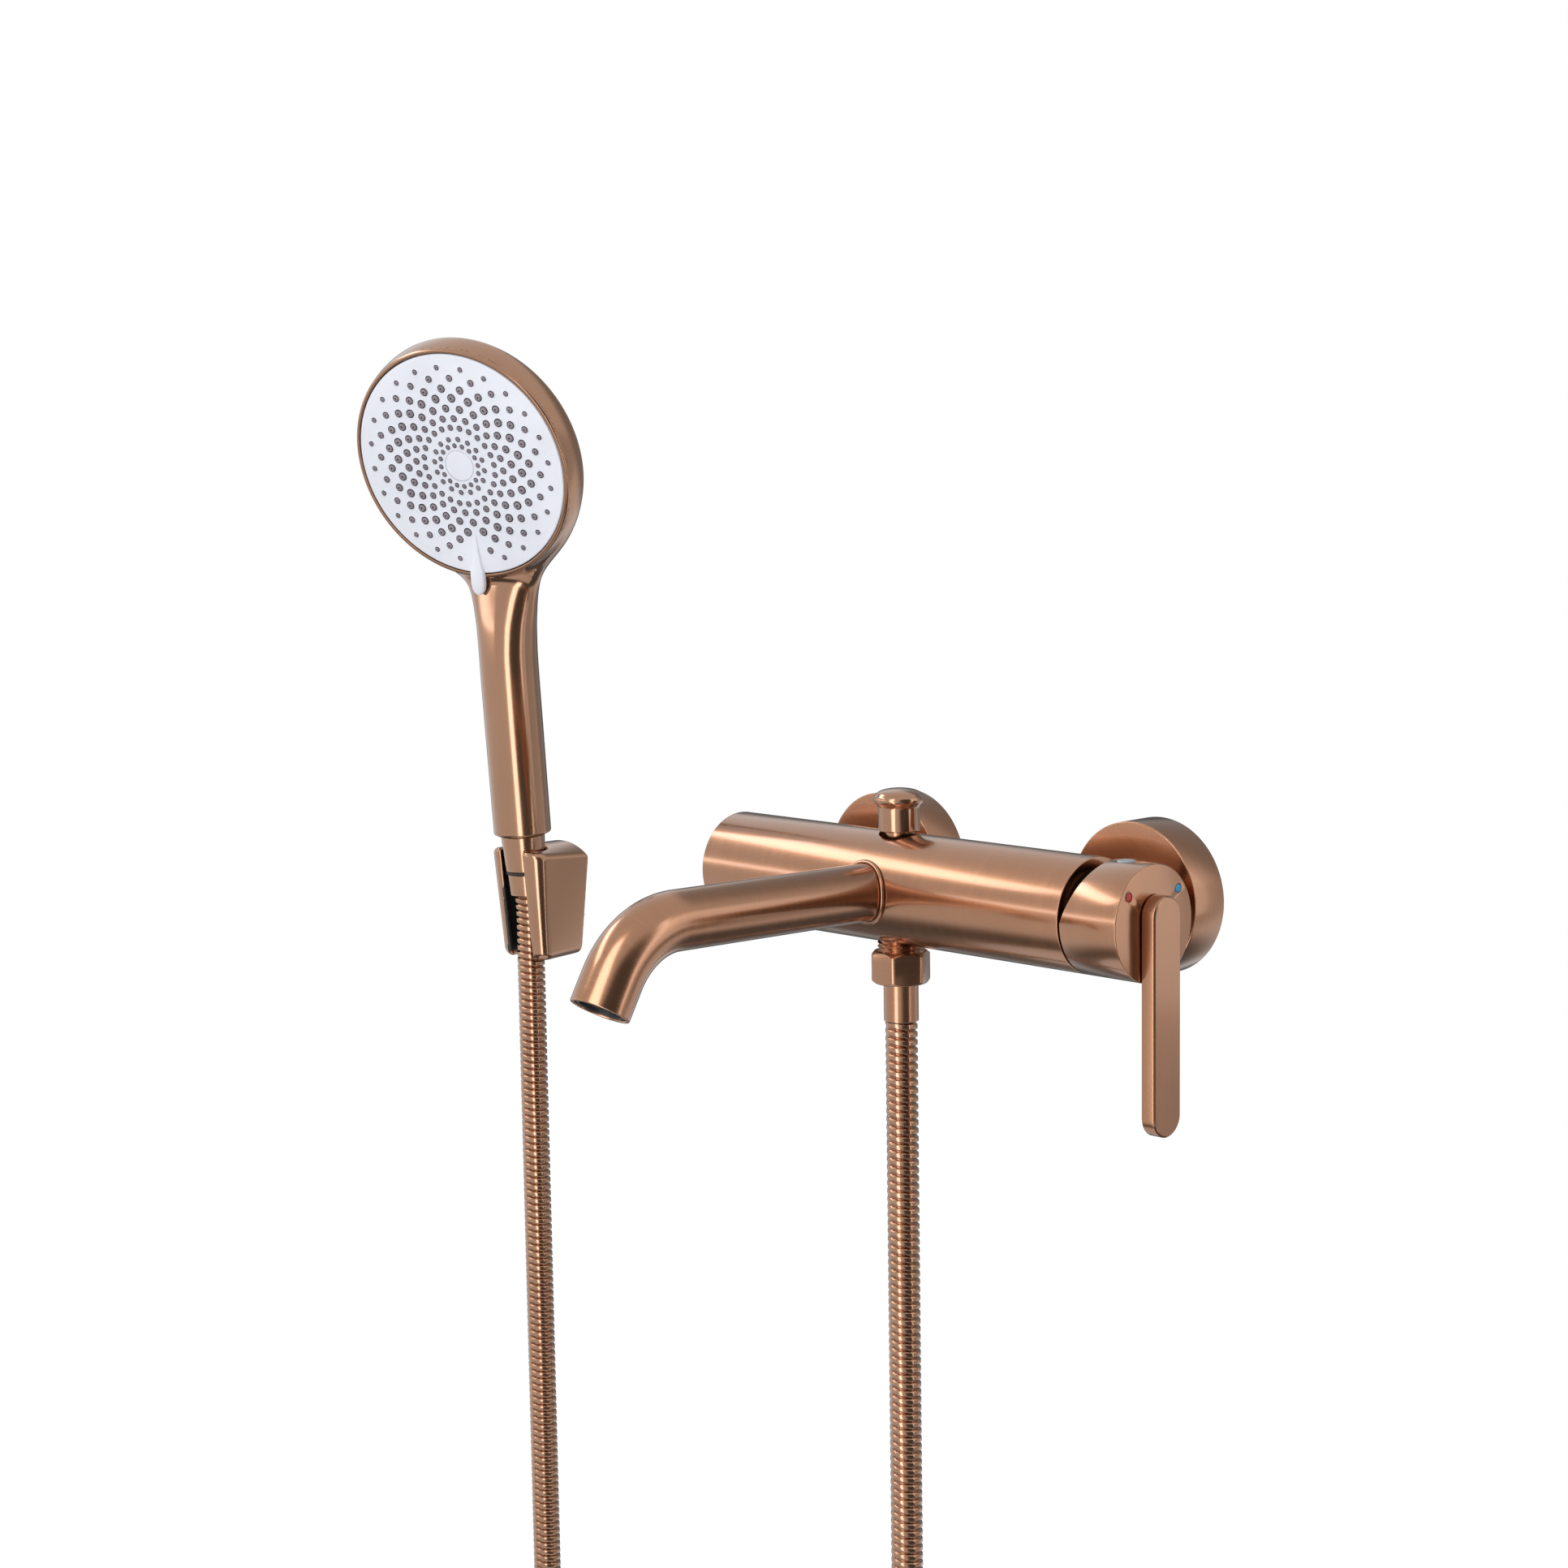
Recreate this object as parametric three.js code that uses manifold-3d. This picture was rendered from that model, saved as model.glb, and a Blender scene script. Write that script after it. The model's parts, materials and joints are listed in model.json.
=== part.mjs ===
// Wall mounted bath faucet: single lever mixer with spout, pull-up diverter, shower hose,
// wall holder and hand shower. Millimetres, +Z up, +X right seen from the room.
// The wall is the plane y = 0 and the faucet stands out of it towards -Y.
// The origin lies on the wall, midway between the two water inlets.
import * as THREE from "three";
import { mergeVertices } from "three/addons/utils/BufferGeometryUtils.js";
import Module from "manifold-3d";

const wasm = await Module();
wasm.setup();

// ---------------------------------------------------------------- driving dimensions
const GAP = 0.3; // between pieces that touch
const INLET_SPACING = 150; // standard centre distance of the two wall inlets
const WALL_TO_AXIS = 60; // wall to the axis of the mixer body
const BODY_RADIUS = 25;
const BODY_LEFT = -129;
const BODY_RIGHT = 88;
const CARTRIDGE_BORE = 20;
const VALVE_X = -25.5; // spout, diverter and shower outlet share this station
const CHAMBER_RADIUS = 10.8;

const FLANGE_RADIUS = 34.25;
const FLANGE_DEPTH = 20;
const WATERWAY = 7; // radius of the bores that carry water
const G12_RADIUS = 10.4; // G1/2 male thread
const G34_RADIUS = 13.2; // G3/4 male thread

const HEAD_REAR = 89.2;
const HEAD_FACE = 119;
const TILT_PIVOT_X = 80; // the lever tilts about this point of the body axis
const TILT_RANGE = THREE.MathUtils.degToRad(20);
const LEVER_WIDTH = 17.5;
const LEVER_THICK = 7;
const LEVER_TOP = 12.5;
const LEVER_BOTTOM = -89;
const PLUG_X = 104.5;
const SPINDLE_SIDE = 8;

const SPOUT_RADIUS = 13;
const SPOUT_BORE = 11.2;
const SPOUT_RISE = THREE.MathUtils.degToRad(1.2);
const SPOUT_STRAIGHT = 135; // body axis to the start of the bend
const SPOUT_BEND_RADIUS = 40;
const SPOUT_BEND = THREE.MathUtils.degToRad(61);
const SPOUT_TAIL = 14;
const SPOUT_LENGTH = SPOUT_STRAIGHT + SPOUT_BEND_RADIUS * SPOUT_BEND + SPOUT_TAIL;

const SEAT_Z = 20.8; // flat seat that is milled into the body's top
const KNOB_TOP = 44.8;

const HOSE_RADIUS = 7;
const NUT_BOTTOM = -43;
const FERRULE_BOTTOM = -60.6;

const HOLDER_X = -330;
const HOLDER_TOP = -14;
const HOLDER_BOTTOM = -74;
const HOLDER_HALF_WIDTH = 20;
const HOLDER_DEPTH = 38.5;
const SLOT_WIDTH = 18;

const SHOWER_FOOT = new THREE.Vector3(HOLDER_X, -29.4, -7); // centre of the handle's lower end
const SHOWER_LEAN = THREE.MathUtils.degToRad(3.9);
const SHOWER_TURN = THREE.MathUtils.degToRad(19);
const FACE_TILT = THREE.MathUtils.degToRad(15.7); // spray face against the handle's axis
const FACE_HEIGHT = 196.4;
const FACE_FORWARD = 30.3;
const FACE_RADIUS = 59.3;
const TAB_TURN = THREE.MathUtils.degToRad(10.5); // the selector tab hangs a little aslant
const HANDLE_RADIUS = 15.1;
const NUT_TOP = -0.7; // heights along the handle's axis
const NUT_FOOT = -19.6;
const SLEEVE_TOP = -21.4;
const SLEEVE_BOTTOM = -32.6;

// ---------------------------------------------------------------- materials
function material(color, roughness, metalness) {
  return new THREE.MeshStandardMaterial({ color, roughness, metalness });
}
const copper = () => material(0xa0735a, 0.35, 1);
const polishedCopper = () => material(0x96694f, 0.22, 1);
const brass = () => material(0xb59a5a, 0.4, 1);
const steel = () => material(0xb8b8bc, 0.35, 1);
const whitePlastic = () => material(0xeceef4, 0.3, 0);
const greyPlastic = () => material(0x8c8f94, 0.4, 0);
const blackPlastic = () => material(0x1b1b1c, 0.5, 0);
const rubber = () => material(0x232323, 0.9, 0);

// ---------------------------------------------------------------- solids
// A turned solid: the profile lists [along the axis, radius].
function turned(axis, profile, segments = 24) {
  const points = profile.map(([along, radius]) => new THREE.Vector2(radius, along));
  const geometry = new THREE.LatheGeometry(points, segments);
  if (axis === "x") geometry.rotateZ(-Math.PI / 2);
  if (axis === "z") geometry.rotateX(Math.PI / 2);
  return geometry;
}

function rod(axis, from, to, radius, segments = 24) {
  return turned(axis, [[from, 0], [from, radius], [to, radius], [to, 0]], segments);
}

function pipe(axis, from, to, outer, inner, segments = 24) {
  const profile = [[from, inner], [from, outer], [to, outer], [to, inner], [from, inner]];
  return turned(axis, profile, segments);
}

function box(x, y, z) {
  const size = [x, y, z].map(([low, high]) => high - low);
  const middle = [x, y, z].map(([low, high]) => (low + high) / 2);
  return new THREE.BoxGeometry(...size).translate(...middle);
}

function solid(geometry) {
  const bare = geometry.clone();
  bare.deleteAttribute("normal");
  bare.deleteAttribute("uv");
  const merged = mergeVertices(bare, 1e-4);
  return new wasm.Manifold(
    new wasm.Mesh({
      numProp: 3,
      vertProperties: merged.attributes.position.array,
      triVerts: new Uint32Array(merged.index.array),
    }),
  );
}

function geometryOf(made) {
  const mesh = made.getMesh();
  const geometry = new THREE.BufferGeometry();
  geometry.setAttribute("position", new THREE.BufferAttribute(mesh.vertProperties, 3));
  geometry.setIndex(new THREE.BufferAttribute(mesh.triVerts, 1));
  geometry.computeVertexNormals();
  return geometry;
}

function joined(first, ...others) {
  return geometryOf(others.reduce((sum, g) => sum.add(solid(g)), solid(first)));
}

function cut(first, ...tools) {
  return geometryOf(tools.reduce((rest, g) => rest.subtract(solid(g)), solid(first)));
}

function common(first, second) {
  return geometryOf(solid(first).intersect(solid(second)));
}

function add(parent, name, geometry, look) {
  const mesh = new THREE.Mesh(geometry, look);
  mesh.name = name;
  parent.add(mesh);
  return mesh;
}

// A hexagon nut blank with its corners chamfered at both ends.
function hexBlank(axis, from, to, acrossFlats) {
  const corner = acrossFlats / Math.sqrt(3);
  const chamfer = corner * 0.07;
  const prism = rod(axis, from, to, corner, 6);
  const barrel = turned(axis, [
    [from, 0],
    [from, corner - 2 * chamfer],
    [from + chamfer, corner + 0.01],
    [to - chamfer, corner + 0.01],
    [to, corner - 2 * chamfer],
    [to, 0],
  ]);
  return common(prism, barrel);
}

// A flat bar with round ends: width along X, length along Y, thickness from z = 0 up.
function roundEndedBar(thick, width, bottom, top, bevel) {
  const radius = width / 2 - bevel;
  const outline = new THREE.Shape();
  outline.absarc(0, top - width / 2, radius, 0, Math.PI);
  outline.absarc(0, bottom + width / 2, radius, Math.PI, 2 * Math.PI);
  outline.closePath();
  const bar = new THREE.ExtrudeGeometry(outline, {
    depth: thick - 2 * bevel,
    bevelEnabled: true,
    bevelSegments: 1,
    bevelSize: bevel,
    bevelThickness: bevel,
    curveSegments: 8,
  });
  return bar.translate(0, 0, bevel);
}

// ---------------------------------------------------------------- mixer body
function mixerBody() {
  const inlet = (x) => pipe("y", 18, 30.4, 9.5, 6.5).translate(x, 0, 0);
  const collar = (x) => pipe("y", 28.4, 30.4, 12.6, 6.5).translate(x, 0, 0);
  const bore = (x) => rod("y", 12, 31, 6.5).translate(x, 0, 0);
  const side = INLET_SPACING / 2;
  const casting = joined(
    rod("x", BODY_LEFT, BODY_RIGHT, BODY_RADIUS, 40),
    inlet(-side),
    inlet(side),
    collar(-side),
    collar(side),
  );
  const blockHalf = 19; // half length of the solid block that holds the diverter
  return cut(
    casting,
    rod("x", BODY_LEFT - 1, VALVE_X - blockHalf, CARTRIDGE_BORE, 32),
    rod("x", VALVE_X + blockHalf, BODY_RIGHT + 1, CARTRIDGE_BORE, 32),
    bore(-side),
    bore(side),
    rod("z", -30, 12, CHAMBER_RADIUS).translate(VALVE_X, 0, 0),
    rod("z", 11, 30, 5.2, 24).translate(VALVE_X, 0, 0),
    rod("z", SEAT_Z, 30, 9.2).translate(VALVE_X, 0, 0),
    rod("y", -30, -1, 11).rotateX(-SPOUT_RISE).translate(VALVE_X, 0, 0),
    rod("x", VALVE_X, VALVE_X + blockHalf + 1, 6, 24),
    rod("x", VALVE_X - blockHalf - 1, VALVE_X + blockHalf + 1, 3.4, 16).translate(0, 15.4, 0),
  );
}

function endCap() {
  const radius = CARTRIDGE_BORE - GAP;
  return turned("x", [
    [BODY_LEFT, 0],
    [BODY_LEFT, radius],
    [BODY_LEFT + 9, radius],
    [BODY_LEFT + 9, radius - 3],
    [BODY_LEFT + 3, radius - 3],
    [BODY_LEFT + 3, 0],
  ], 32);
}

// ---------------------------------------------------------------- wall connections
// Local frame: the inlet's axis is Y, with y = 0 on the mixer's axis and the wall at WALL_TO_AXIS.
function wallUnion() {
  const shank = turned("y", [
    [33, WATERWAY],
    [33, G34_RADIUS],
    [46.5, G34_RADIUS],
    [46.5, 11],
    [57, 11],
    [57, G12_RADIUS - 0.1],
    [78, G12_RADIUS - 0.1],
    [78, WATERWAY],
    [33, WATERWAY],
  ]);
  const flats = cut(rod("y", 47.5, 56, 14, 6), rod("y", 40, 60, 9, 12));
  return joined(shank, flats);
}

function wallFlange() {
  const front = WALL_TO_AXIS - FLANGE_DEPTH;
  return turned("y", [
    [front, 14.8],
    [front, FLANGE_RADIUS - 1],
    [front + 1, FLANGE_RADIUS],
    [WALL_TO_AXIS, FLANGE_RADIUS],
    [WALL_TO_AXIS, FLANGE_RADIUS - 2.8],
    [front + 2.5, FLANGE_RADIUS - 2.8],
    [front + 2.5, 14.8],
    [front, 14.8],
  ], 36);
}

function unionNut() {
  return cut(
    hexBlank("y", 26, 39.5, 30),
    rod("y", 28.1, 41, G34_RADIUS + GAP),
    rod("y", 25, 29, 9.9),
  );
}

function addInlet(mixer, side, x) {
  const inlet = new THREE.Group();
  inlet.position.x = x;
  mixer.add(inlet);
  add(inlet, side + "_union", wallUnion(), brass());
  add(inlet, side + "_flange", wallFlange(), copper());
  add(inlet, side + "_union_nut", unionNut(), copper());
  add(inlet, side + "_union_washer", pipe("y", 30.7, 32.7, 12, 6.8, 24), rubber());
}

// ---------------------------------------------------------------- cartridge and handle
function cartridgeBase() {
  const port = (angle) =>
    rod("x", 44, 60, 3, 12).translate(0, 9.5 * Math.cos(angle), 9.5 * Math.sin(angle));
  const ports = [0, 1, 2].map((i) => port(Math.PI / 2 + (i * 2 * Math.PI) / 3));
  return cut(rod("x", 46, 58, 17.5), ...ports);
}

function cartridgeCase() {
  return turned("x", [
    [58.3, 0],
    [58.3, 17.4],
    [78, 17.4],
    [78, 13.2],
    [92, 13.2],
    [92, 11.8],
    [64, 11.8],
    [64, 0],
  ]);
}

function cartridgeNut() {
  const blank = turned("x", [
    [78.3, 13.6],
    [78.3, CARTRIDGE_BORE - GAP],
    [87.6, CARTRIDGE_BORE - GAP],
    [87.6, 18],
    [92.4, 18],
    [92.4, 13.6],
    [78.3, 13.6],
  ]);
  const notch = box([90, 94], [-2, 2], [-30, 30]);
  return cut(blank, notch);
}

function cartridgeCarrier() {
  return cut(
    rod("x", 74, 88, 11.5),
    box([70, 90], [-4.5, 4.5], [-9.75, 9.75]),
    rod("y", -20, 20, 1.8, 12).translate(TILT_PIVOT_X, 0, 0),
  );
}

function spindle() {
  const half = SPINDLE_SIDE / 2;
  return cut(
    box([66, 108], [-half, half], [-half, half]),
    rod("y", -20, 20, 1.8, 12).translate(TILT_PIVOT_X, 0, 0),
  );
}

// The rear is cut back above the axis, so that the head can tilt towards the body.
function handleHead() {
  const reach = 40;
  const rear = new THREE.Shape([
    new THREE.Vector2(50, -reach),
    new THREE.Vector2(HEAD_REAR, -reach),
    new THREE.Vector2(HEAD_REAR, 0),
    new THREE.Vector2(HEAD_REAR + reach * Math.tan(TILT_RANGE), reach),
    new THREE.Vector2(50, reach),
  ]);
  const clearance = new THREE.ExtrudeGeometry(rear, { depth: 2 * reach, bevelEnabled: false })
    .translate(0, 0, -reach)
    .rotateX(Math.PI / 2);
  const shell = cut(rod("x", 85, HEAD_FACE, BODY_RADIUS, 40), rod("x", 60, 113, 21.8, 32));
  const boss = joined(
    shell,
    rod("x", 99, 114, 10, 24),
    box([99, 113.5], [-5, 5], [5, 22.5]),
  );
  const socket = SPINDLE_SIDE / 2 + GAP;
  const dotHole = (y) => rod("x", 118, 120, 2.1, 16).translate(0, y, 13);
  return cut(
    boss,
    clearance,
    box([98, 110], [-socket, socket], [-socket, socket]),
    rod("z", 3, 21, 2.8, 16).translate(PLUG_X, 0, 0),
    rod("z", 20.8, 27, 4.4, 24).translate(PLUG_X, 0, 0),
    dotHole(-16),
    dotHole(16),
  );
}

function lever() {
  const standing = new THREE.Matrix4().makeBasis(
    new THREE.Vector3(0, 1, 0),
    new THREE.Vector3(0, 0, 1),
    new THREE.Vector3(1, 0, 0),
  );
  return roundEndedBar(LEVER_THICK, LEVER_WIDTH, LEVER_BOTTOM, LEVER_TOP, 0.6)
    .applyMatrix4(standing)
    .translate(HEAD_FACE + GAP, 0, 0);
}

function grubScrew() {
  const key = rod("z", 11.5, 16, 1.3, 6);
  return cut(rod("z", 4.6, 14.6, 2.5, 16), key);
}

function screwPlug() {
  return turned("z", [[21.1, 0], [21.1, 4.1], [24.8, 4.1], [25.2, 3.4], [25.4, 0]], 24);
}

function addHandle(mixer) {
  add(mixer, "cartridge_base", cartridgeBase(), whitePlastic());
  add(mixer, "cartridge_case", cartridgeCase(), whitePlastic());
  add(mixer, "cartridge_nut", cartridgeNut(), brass());
  add(mixer, "cartridge_carrier", cartridgeCarrier(), blackPlastic());
  add(mixer, "pivot_pin", rod("y", -11, 11, 1.5, 12), steel()).position.x = TILT_PIVOT_X;
  add(mixer, "cartridge_spindle", spindle(), steel());
  add(mixer, "handle_head", handleHead(), copper());
  add(mixer, "lever", lever(), copper());
  add(mixer, "grub_screw", grubScrew(), steel()).position.x = PLUG_X;
  add(mixer, "screw_plug", screwPlug(), greyPlastic()).position.x = PLUG_X;
  const dot = rod("x", 118.3, 119.15, 1.8, 16);
  add(mixer, "hot_dot", dot, material(0xb3292b, 0.4, 0)).position.set(0, -16, 13);
  add(mixer, "cold_dot", dot, material(0x1d8fc4, 0.4, 0)).position.set(0, 16, 13);
}

// ---------------------------------------------------------------- spout
// Local frame: the spout leaves the body's axis along -Y and bends down.
// Maps a straight tube along +Z onto the spout's centreline; its +Y side becomes the top.
function followSpout(geometry) {
  const place = geometry.attributes.position;
  for (let i = 0; i < place.count; i += 1) {
    const along = place.getZ(i);
    const up = place.getY(i);
    const angle = THREE.MathUtils.clamp((along - SPOUT_STRAIGHT) / SPOUT_BEND_RADIUS, 0, SPOUT_BEND);
    const tail = Math.max(0, along - SPOUT_STRAIGHT - SPOUT_BEND_RADIUS * SPOUT_BEND);
    const radius = SPOUT_BEND_RADIUS + up;
    const forward = Math.min(along, SPOUT_STRAIGHT) + radius * Math.sin(angle) + tail * Math.cos(angle);
    place.setY(i, -forward);
    place.setZ(i, radius * Math.cos(angle) - SPOUT_BEND_RADIUS - tail * Math.sin(angle));
  }
  return geometry;
}

function spoutTube() {
  const bendSteps = 7;
  const stations = [16, 60];
  for (let i = 0; i <= bendSteps; i += 1) {
    stations.push(SPOUT_STRAIGHT + (SPOUT_BEND_RADIUS * SPOUT_BEND * i) / bendSteps);
  }
  const mouth = SPOUT_LENGTH;
  const outside = stations.map((along) => [along, SPOUT_RADIUS]);
  const inside = stations.map((along) => [along, SPOUT_BORE]);
  const tube = turned("z", [
    ...outside,
    [mouth - 0.4, SPOUT_RADIUS],
    [mouth, SPOUT_RADIUS - 0.4],
    [mouth, SPOUT_BORE],
    ...inside.toReversed(),
    outside[0],
  ], 24);
  const base = joined(followSpout(tube), pipe("y", -34, -16.5, SPOUT_RADIUS - 0.9, 8.5));
  const saddle = cut(base, rod("x", -40, 40, BODY_RADIUS + GAP, 40));
  return joined(saddle, pipe("y", -33, -13, 10.6, 8));
}

// A thin ring that follows the body's round surface.
function spoutRing() {
  const band = pipe("y", -30, -10, SPOUT_RADIUS + 1.4, SPOUT_RADIUS + GAP, 28);
  const outer = rod("x", -40, 40, BODY_RADIUS + 1.6, 40);
  return cut(common(band, outer), rod("x", -40, 40, BODY_RADIUS + GAP, 40));
}

function aeratorScreen(mouth) {
  const hole = (angle) =>
    rod("z", mouth - 9, mouth, 1.5, 8).translate(6 * Math.cos(angle), 6 * Math.sin(angle), 0);
  const holes = Array.from({ length: 8 }, (_, i) => hole((i * Math.PI) / 4));
  return cut(rod("z", mouth - 7, mouth - 2, 9.1), ...holes);
}

function addSpout(mixer) {
  const spout = new THREE.Group();
  spout.position.x = VALVE_X;
  spout.rotation.x = -SPOUT_RISE;
  mixer.add(spout);
  add(spout, "spout", spoutTube(), copper());
  add(spout, "spout_ring", spoutRing(), copper());
  const mouth = SPOUT_LENGTH;
  const housing = pipe("z", mouth - 10, mouth - 0.6, 10.8, 9.4);
  add(spout, "aerator_housing", followSpout(housing), blackPlastic());
  add(spout, "aerator_screen", followSpout(aeratorScreen(mouth)), blackPlastic());
}

// ---------------------------------------------------------------- diverter
function diverterGland() {
  const blank = joined(rod("z", SEAT_Z + GAP, 27, 6.5), rod("z", 12.3, 22, 4.9));
  return cut(blank, rod("z", 10, 30, 2.6, 16));
}

function diverterKnob() {
  return turned("z", [
    [38, 0],
    [38, 2.5],
    [33, 2.5],
    [33, 7.7],
    [25.8, 7.7],
    [25.8, 9.3],
    [36.3, 9.3],
    [37, 9.6],
    [38.2, 10.7],
    [39.9, 11.4],
    [41.4, 11],
    [42.2, 9],
    [43.4, 5.6],
    [44.4, 2.6],
    [KNOB_TOP, 0],
  ], 24);
}

function addDiverter(mixer) {
  const diverter = new THREE.Group();
  diverter.position.x = VALVE_X;
  mixer.add(diverter);
  add(diverter, "diverter_gland", diverterGland(), copper());
  add(diverter, "diverter_knob", diverterKnob(), copper());
  add(diverter, "diverter_rod", rod("z", -13, 37.5, 2.2, 16), steel());
  add(diverter, "diverter_seal", pipe("z", -12, -7, 9.8, 2.5, 24), rubber());
}

// ---------------------------------------------------------------- shower outlet and hose
function outletNipple() {
  const pitch = 1.8;
  const profile = [[-38, 6.2], [-38, G12_RADIUS], [-30, G12_RADIUS]];
  for (let turn = 0; turn < 3; turn += 1) {
    const z = -30 + turn * pitch;
    profile.push([z + 0.5 * pitch, G12_RADIUS - 1.1], [z + pitch, G12_RADIUS]);
  }
  profile.push([-19, G12_RADIUS], [-19, 6.2], [-38, 6.2]);
  return turned("z", profile);
}

function hoseNut() {
  return cut(
    hexBlank("z", NUT_BOTTOM, -28.6, 24),
    rod("z", -41.9, -28, G12_RADIUS + 0.4),
    rod("z", -45, -41, 8.2, 24),
  );
}

function hoseFerrule() {
  return turned("z", [
    [FERRULE_BOTTOM, 4.8],
    [FERRULE_BOTTOM, 7.3],
    [FERRULE_BOTTOM + 1, 7.85],
    [-41.6, 7.85],
    [-41.6, 10],
    [-40.6, 10],
    [-40.6, 4.8],
    [FERRULE_BOTTOM, 4.8],
  ], 24);
}

// The hose is 1.5 m long and hangs from the outlet and the hand shower's lower end in one long U.
// Points in the part's frame: two straight legs, joined by half an ellipse.
function hosePath() {
  const outlet = new THREE.Vector3(VALVE_X, -WALL_TO_AXIS, FERRULE_BOTTOM - GAP);
  const end = alongHandle(SLEEVE_BOTTOM - GAP);
  const legY = end.y + 1.2; // the hose has turned straight down here
  const turnZ = -506;
  const drop = 220;
  const points = [];
  for (let z = outlet.z; z > turnZ; z -= 63) {
    points.push(new THREE.Vector3(outlet.x, outlet.y, z));
  }
  for (let i = 0; i <= 12; i += 1) {
    const angle = (i * Math.PI) / 12;
    const across = (1 - Math.cos(angle)) / 2;
    points.push(
      new THREE.Vector3(
        THREE.MathUtils.lerp(outlet.x, end.x, across),
        THREE.MathUtils.lerp(outlet.y, legY, across),
        turnZ - drop * Math.sin(angle),
      ),
    );
  }
  for (const z of [-443, -380, -317, -254, -191, -128, -85]) {
    points.push(new THREE.Vector3(end.x, legY, z));
  }
  points.push(new THREE.Vector3(end.x, end.y + 0.9, -62));
  points.push(alongHandle(SLEEVE_BOTTOM - GAP - 8));
  points.push(end);
  return new THREE.CatmullRomCurve3(points, false, "centripetal");
}

function hoseTube() {
  const section = new THREE.Shape().absarc(0, 0, HOSE_RADIUS, 0, 2 * Math.PI);
  return new THREE.ExtrudeGeometry(section, {
    steps: 38,
    curveSegments: 4,
    extrudePath: hosePath(),
  });
}

function addShowerOutlet(mixer) {
  const outlet = new THREE.Group();
  outlet.position.x = VALVE_X;
  mixer.add(outlet);
  add(outlet, "shower_outlet", outletNipple(), copper());
  add(outlet, "hose_nut", hoseNut(), copper()).rotation.z = Math.PI / 6;
  add(outlet, "hose_washer", pipe("z", -40.3, -38.3, 9.9, 5.2, 24), rubber());
  add(outlet, "hose_ferrule", hoseFerrule(), copper());
}

// ---------------------------------------------------------------- wall holder
// Local frame: z = 0 at the part's origin height, the wall at y = 0.
function holderBlock() {
  const half = HOLDER_HALF_WIDTH;
  const front = 9;
  const back = 3;
  const outline = new THREE.Shape();
  outline.moveTo(-half + back, 0);
  outline.absarc(-half + back, -back, back, Math.PI / 2, Math.PI);
  outline.absarc(-half + front, -HOLDER_DEPTH + front, front, Math.PI, 1.5 * Math.PI);
  outline.absarc(half - front, -HOLDER_DEPTH + front, front, 1.5 * Math.PI, 2 * Math.PI);
  outline.absarc(half - back, -back, back, 0, Math.PI / 2);
  outline.closePath();
  const height = HOLDER_TOP - HOLDER_BOTTOM;
  const block = new THREE.ExtrudeGeometry(outline, {
    depth: height,
    steps: 3,
    bevelEnabled: false,
    curveSegments: 6,
  });
  // The block narrows downwards, most of all along the wall.
  const place = block.attributes.position;
  for (let i = 0; i < place.count; i += 1) {
    const down = 1 - place.getZ(i) / height;
    const towardsWall = 1 + place.getY(i) / HOLDER_DEPTH;
    place.setX(i, place.getX(i) * (1 - down * (0.08 + 0.3 * towardsWall)));
    place.setY(i, place.getY(i) * (1 - 0.15 * down));
  }
  return block.translate(0, 0, HOLDER_BOTTOM);
}

function showerHolder() {
  const socket = turned("z", [[-90, 0], [-90, 9.6], [-8, 12.4], [20, 12.4], [20, 0]])
    .rotateX(SHOWER_LEAN)
    .translate(0, SHOWER_FOOT.y, SHOWER_FOOT.z);
  const half = SLOT_WIDTH / 2;
  const slot = box([-half, half], [-60, SHOWER_FOOT.y + 4], [-90, 10]);
  const pocket = box([-9, 9], [-4.6, 2], [-66, -22]);
  return cut(holderBlock(), socket, slot, pocket);
}

function holderPlate() {
  const hole = (z) => rod("y", -6, 2, 2.3, 16).translate(0, 0, z);
  const head = (z) => rod("y", -6, -2.2, 4.3, 16).translate(0, 0, z);
  return cut(box([-8.6, 8.6], [-4.2, 0], [-65.6, -22.4]), hole(-32), hole(-56), head(-32), head(-56));
}

function holderScrew() {
  const body = turned("y", [[-4, 0], [-4, 3.9], [-2.6, 3.9], [-2.6, 2], [9, 2], [12, 0]], 16);
  return cut(body, box([-3, 3], [-5, -3.3], [-0.5, 0.5]));
}

function addHolder(faucet) {
  const holder = new THREE.Group();
  holder.position.x = HOLDER_X;
  faucet.add(holder);
  add(holder, "shower_holder", showerHolder(), polishedCopper());
  add(holder, "holder_plate", holderPlate(), steel());
  add(holder, "holder_screw_upper", holderScrew(), steel()).position.z = -32;
  add(holder, "holder_screw_lower", holderScrew(), steel()).position.z = -56;
}

// ---------------------------------------------------------------- hand shower
// Local frame of the handle: +Z runs up its axis from the lower end, the spray face looks to -Y.
function alongHandle(height) {
  const up = new THREE.Vector3(0, -Math.sin(SHOWER_LEAN), Math.cos(SHOWER_LEAN));
  return SHOWER_FOOT.clone().addScaledVector(up, height);
}

function hoseEndSleeve() {
  return turned("z", [
    [SLEEVE_BOTTOM, 4.6],
    [SLEEVE_BOTTOM, 9.2],
    [SLEEVE_TOP, 9.5],
    [SLEEVE_TOP, 6.6],
    [-16.6, 6.6],
    [-16.6, 8.2],
    [-15.5, 8.2],
    [-15.5, 4.6],
    [SLEEVE_BOTTOM, 4.6],
  ]);
}

function coneNut() {
  return turned("z", [
    [NUT_FOOT, 7],
    [NUT_FOOT, 10.8],
    [NUT_TOP, 11.8],
    [NUT_TOP, 10.6],
    [-13.2, 10.6],
    [-13.2, 10.1],
    [-15.4, 10.1],
    [-15.4, 8.6],
    [-17, 8.6],
    [-17, 7],
    [NUT_FOOT, 7],
  ]);
}

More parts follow.
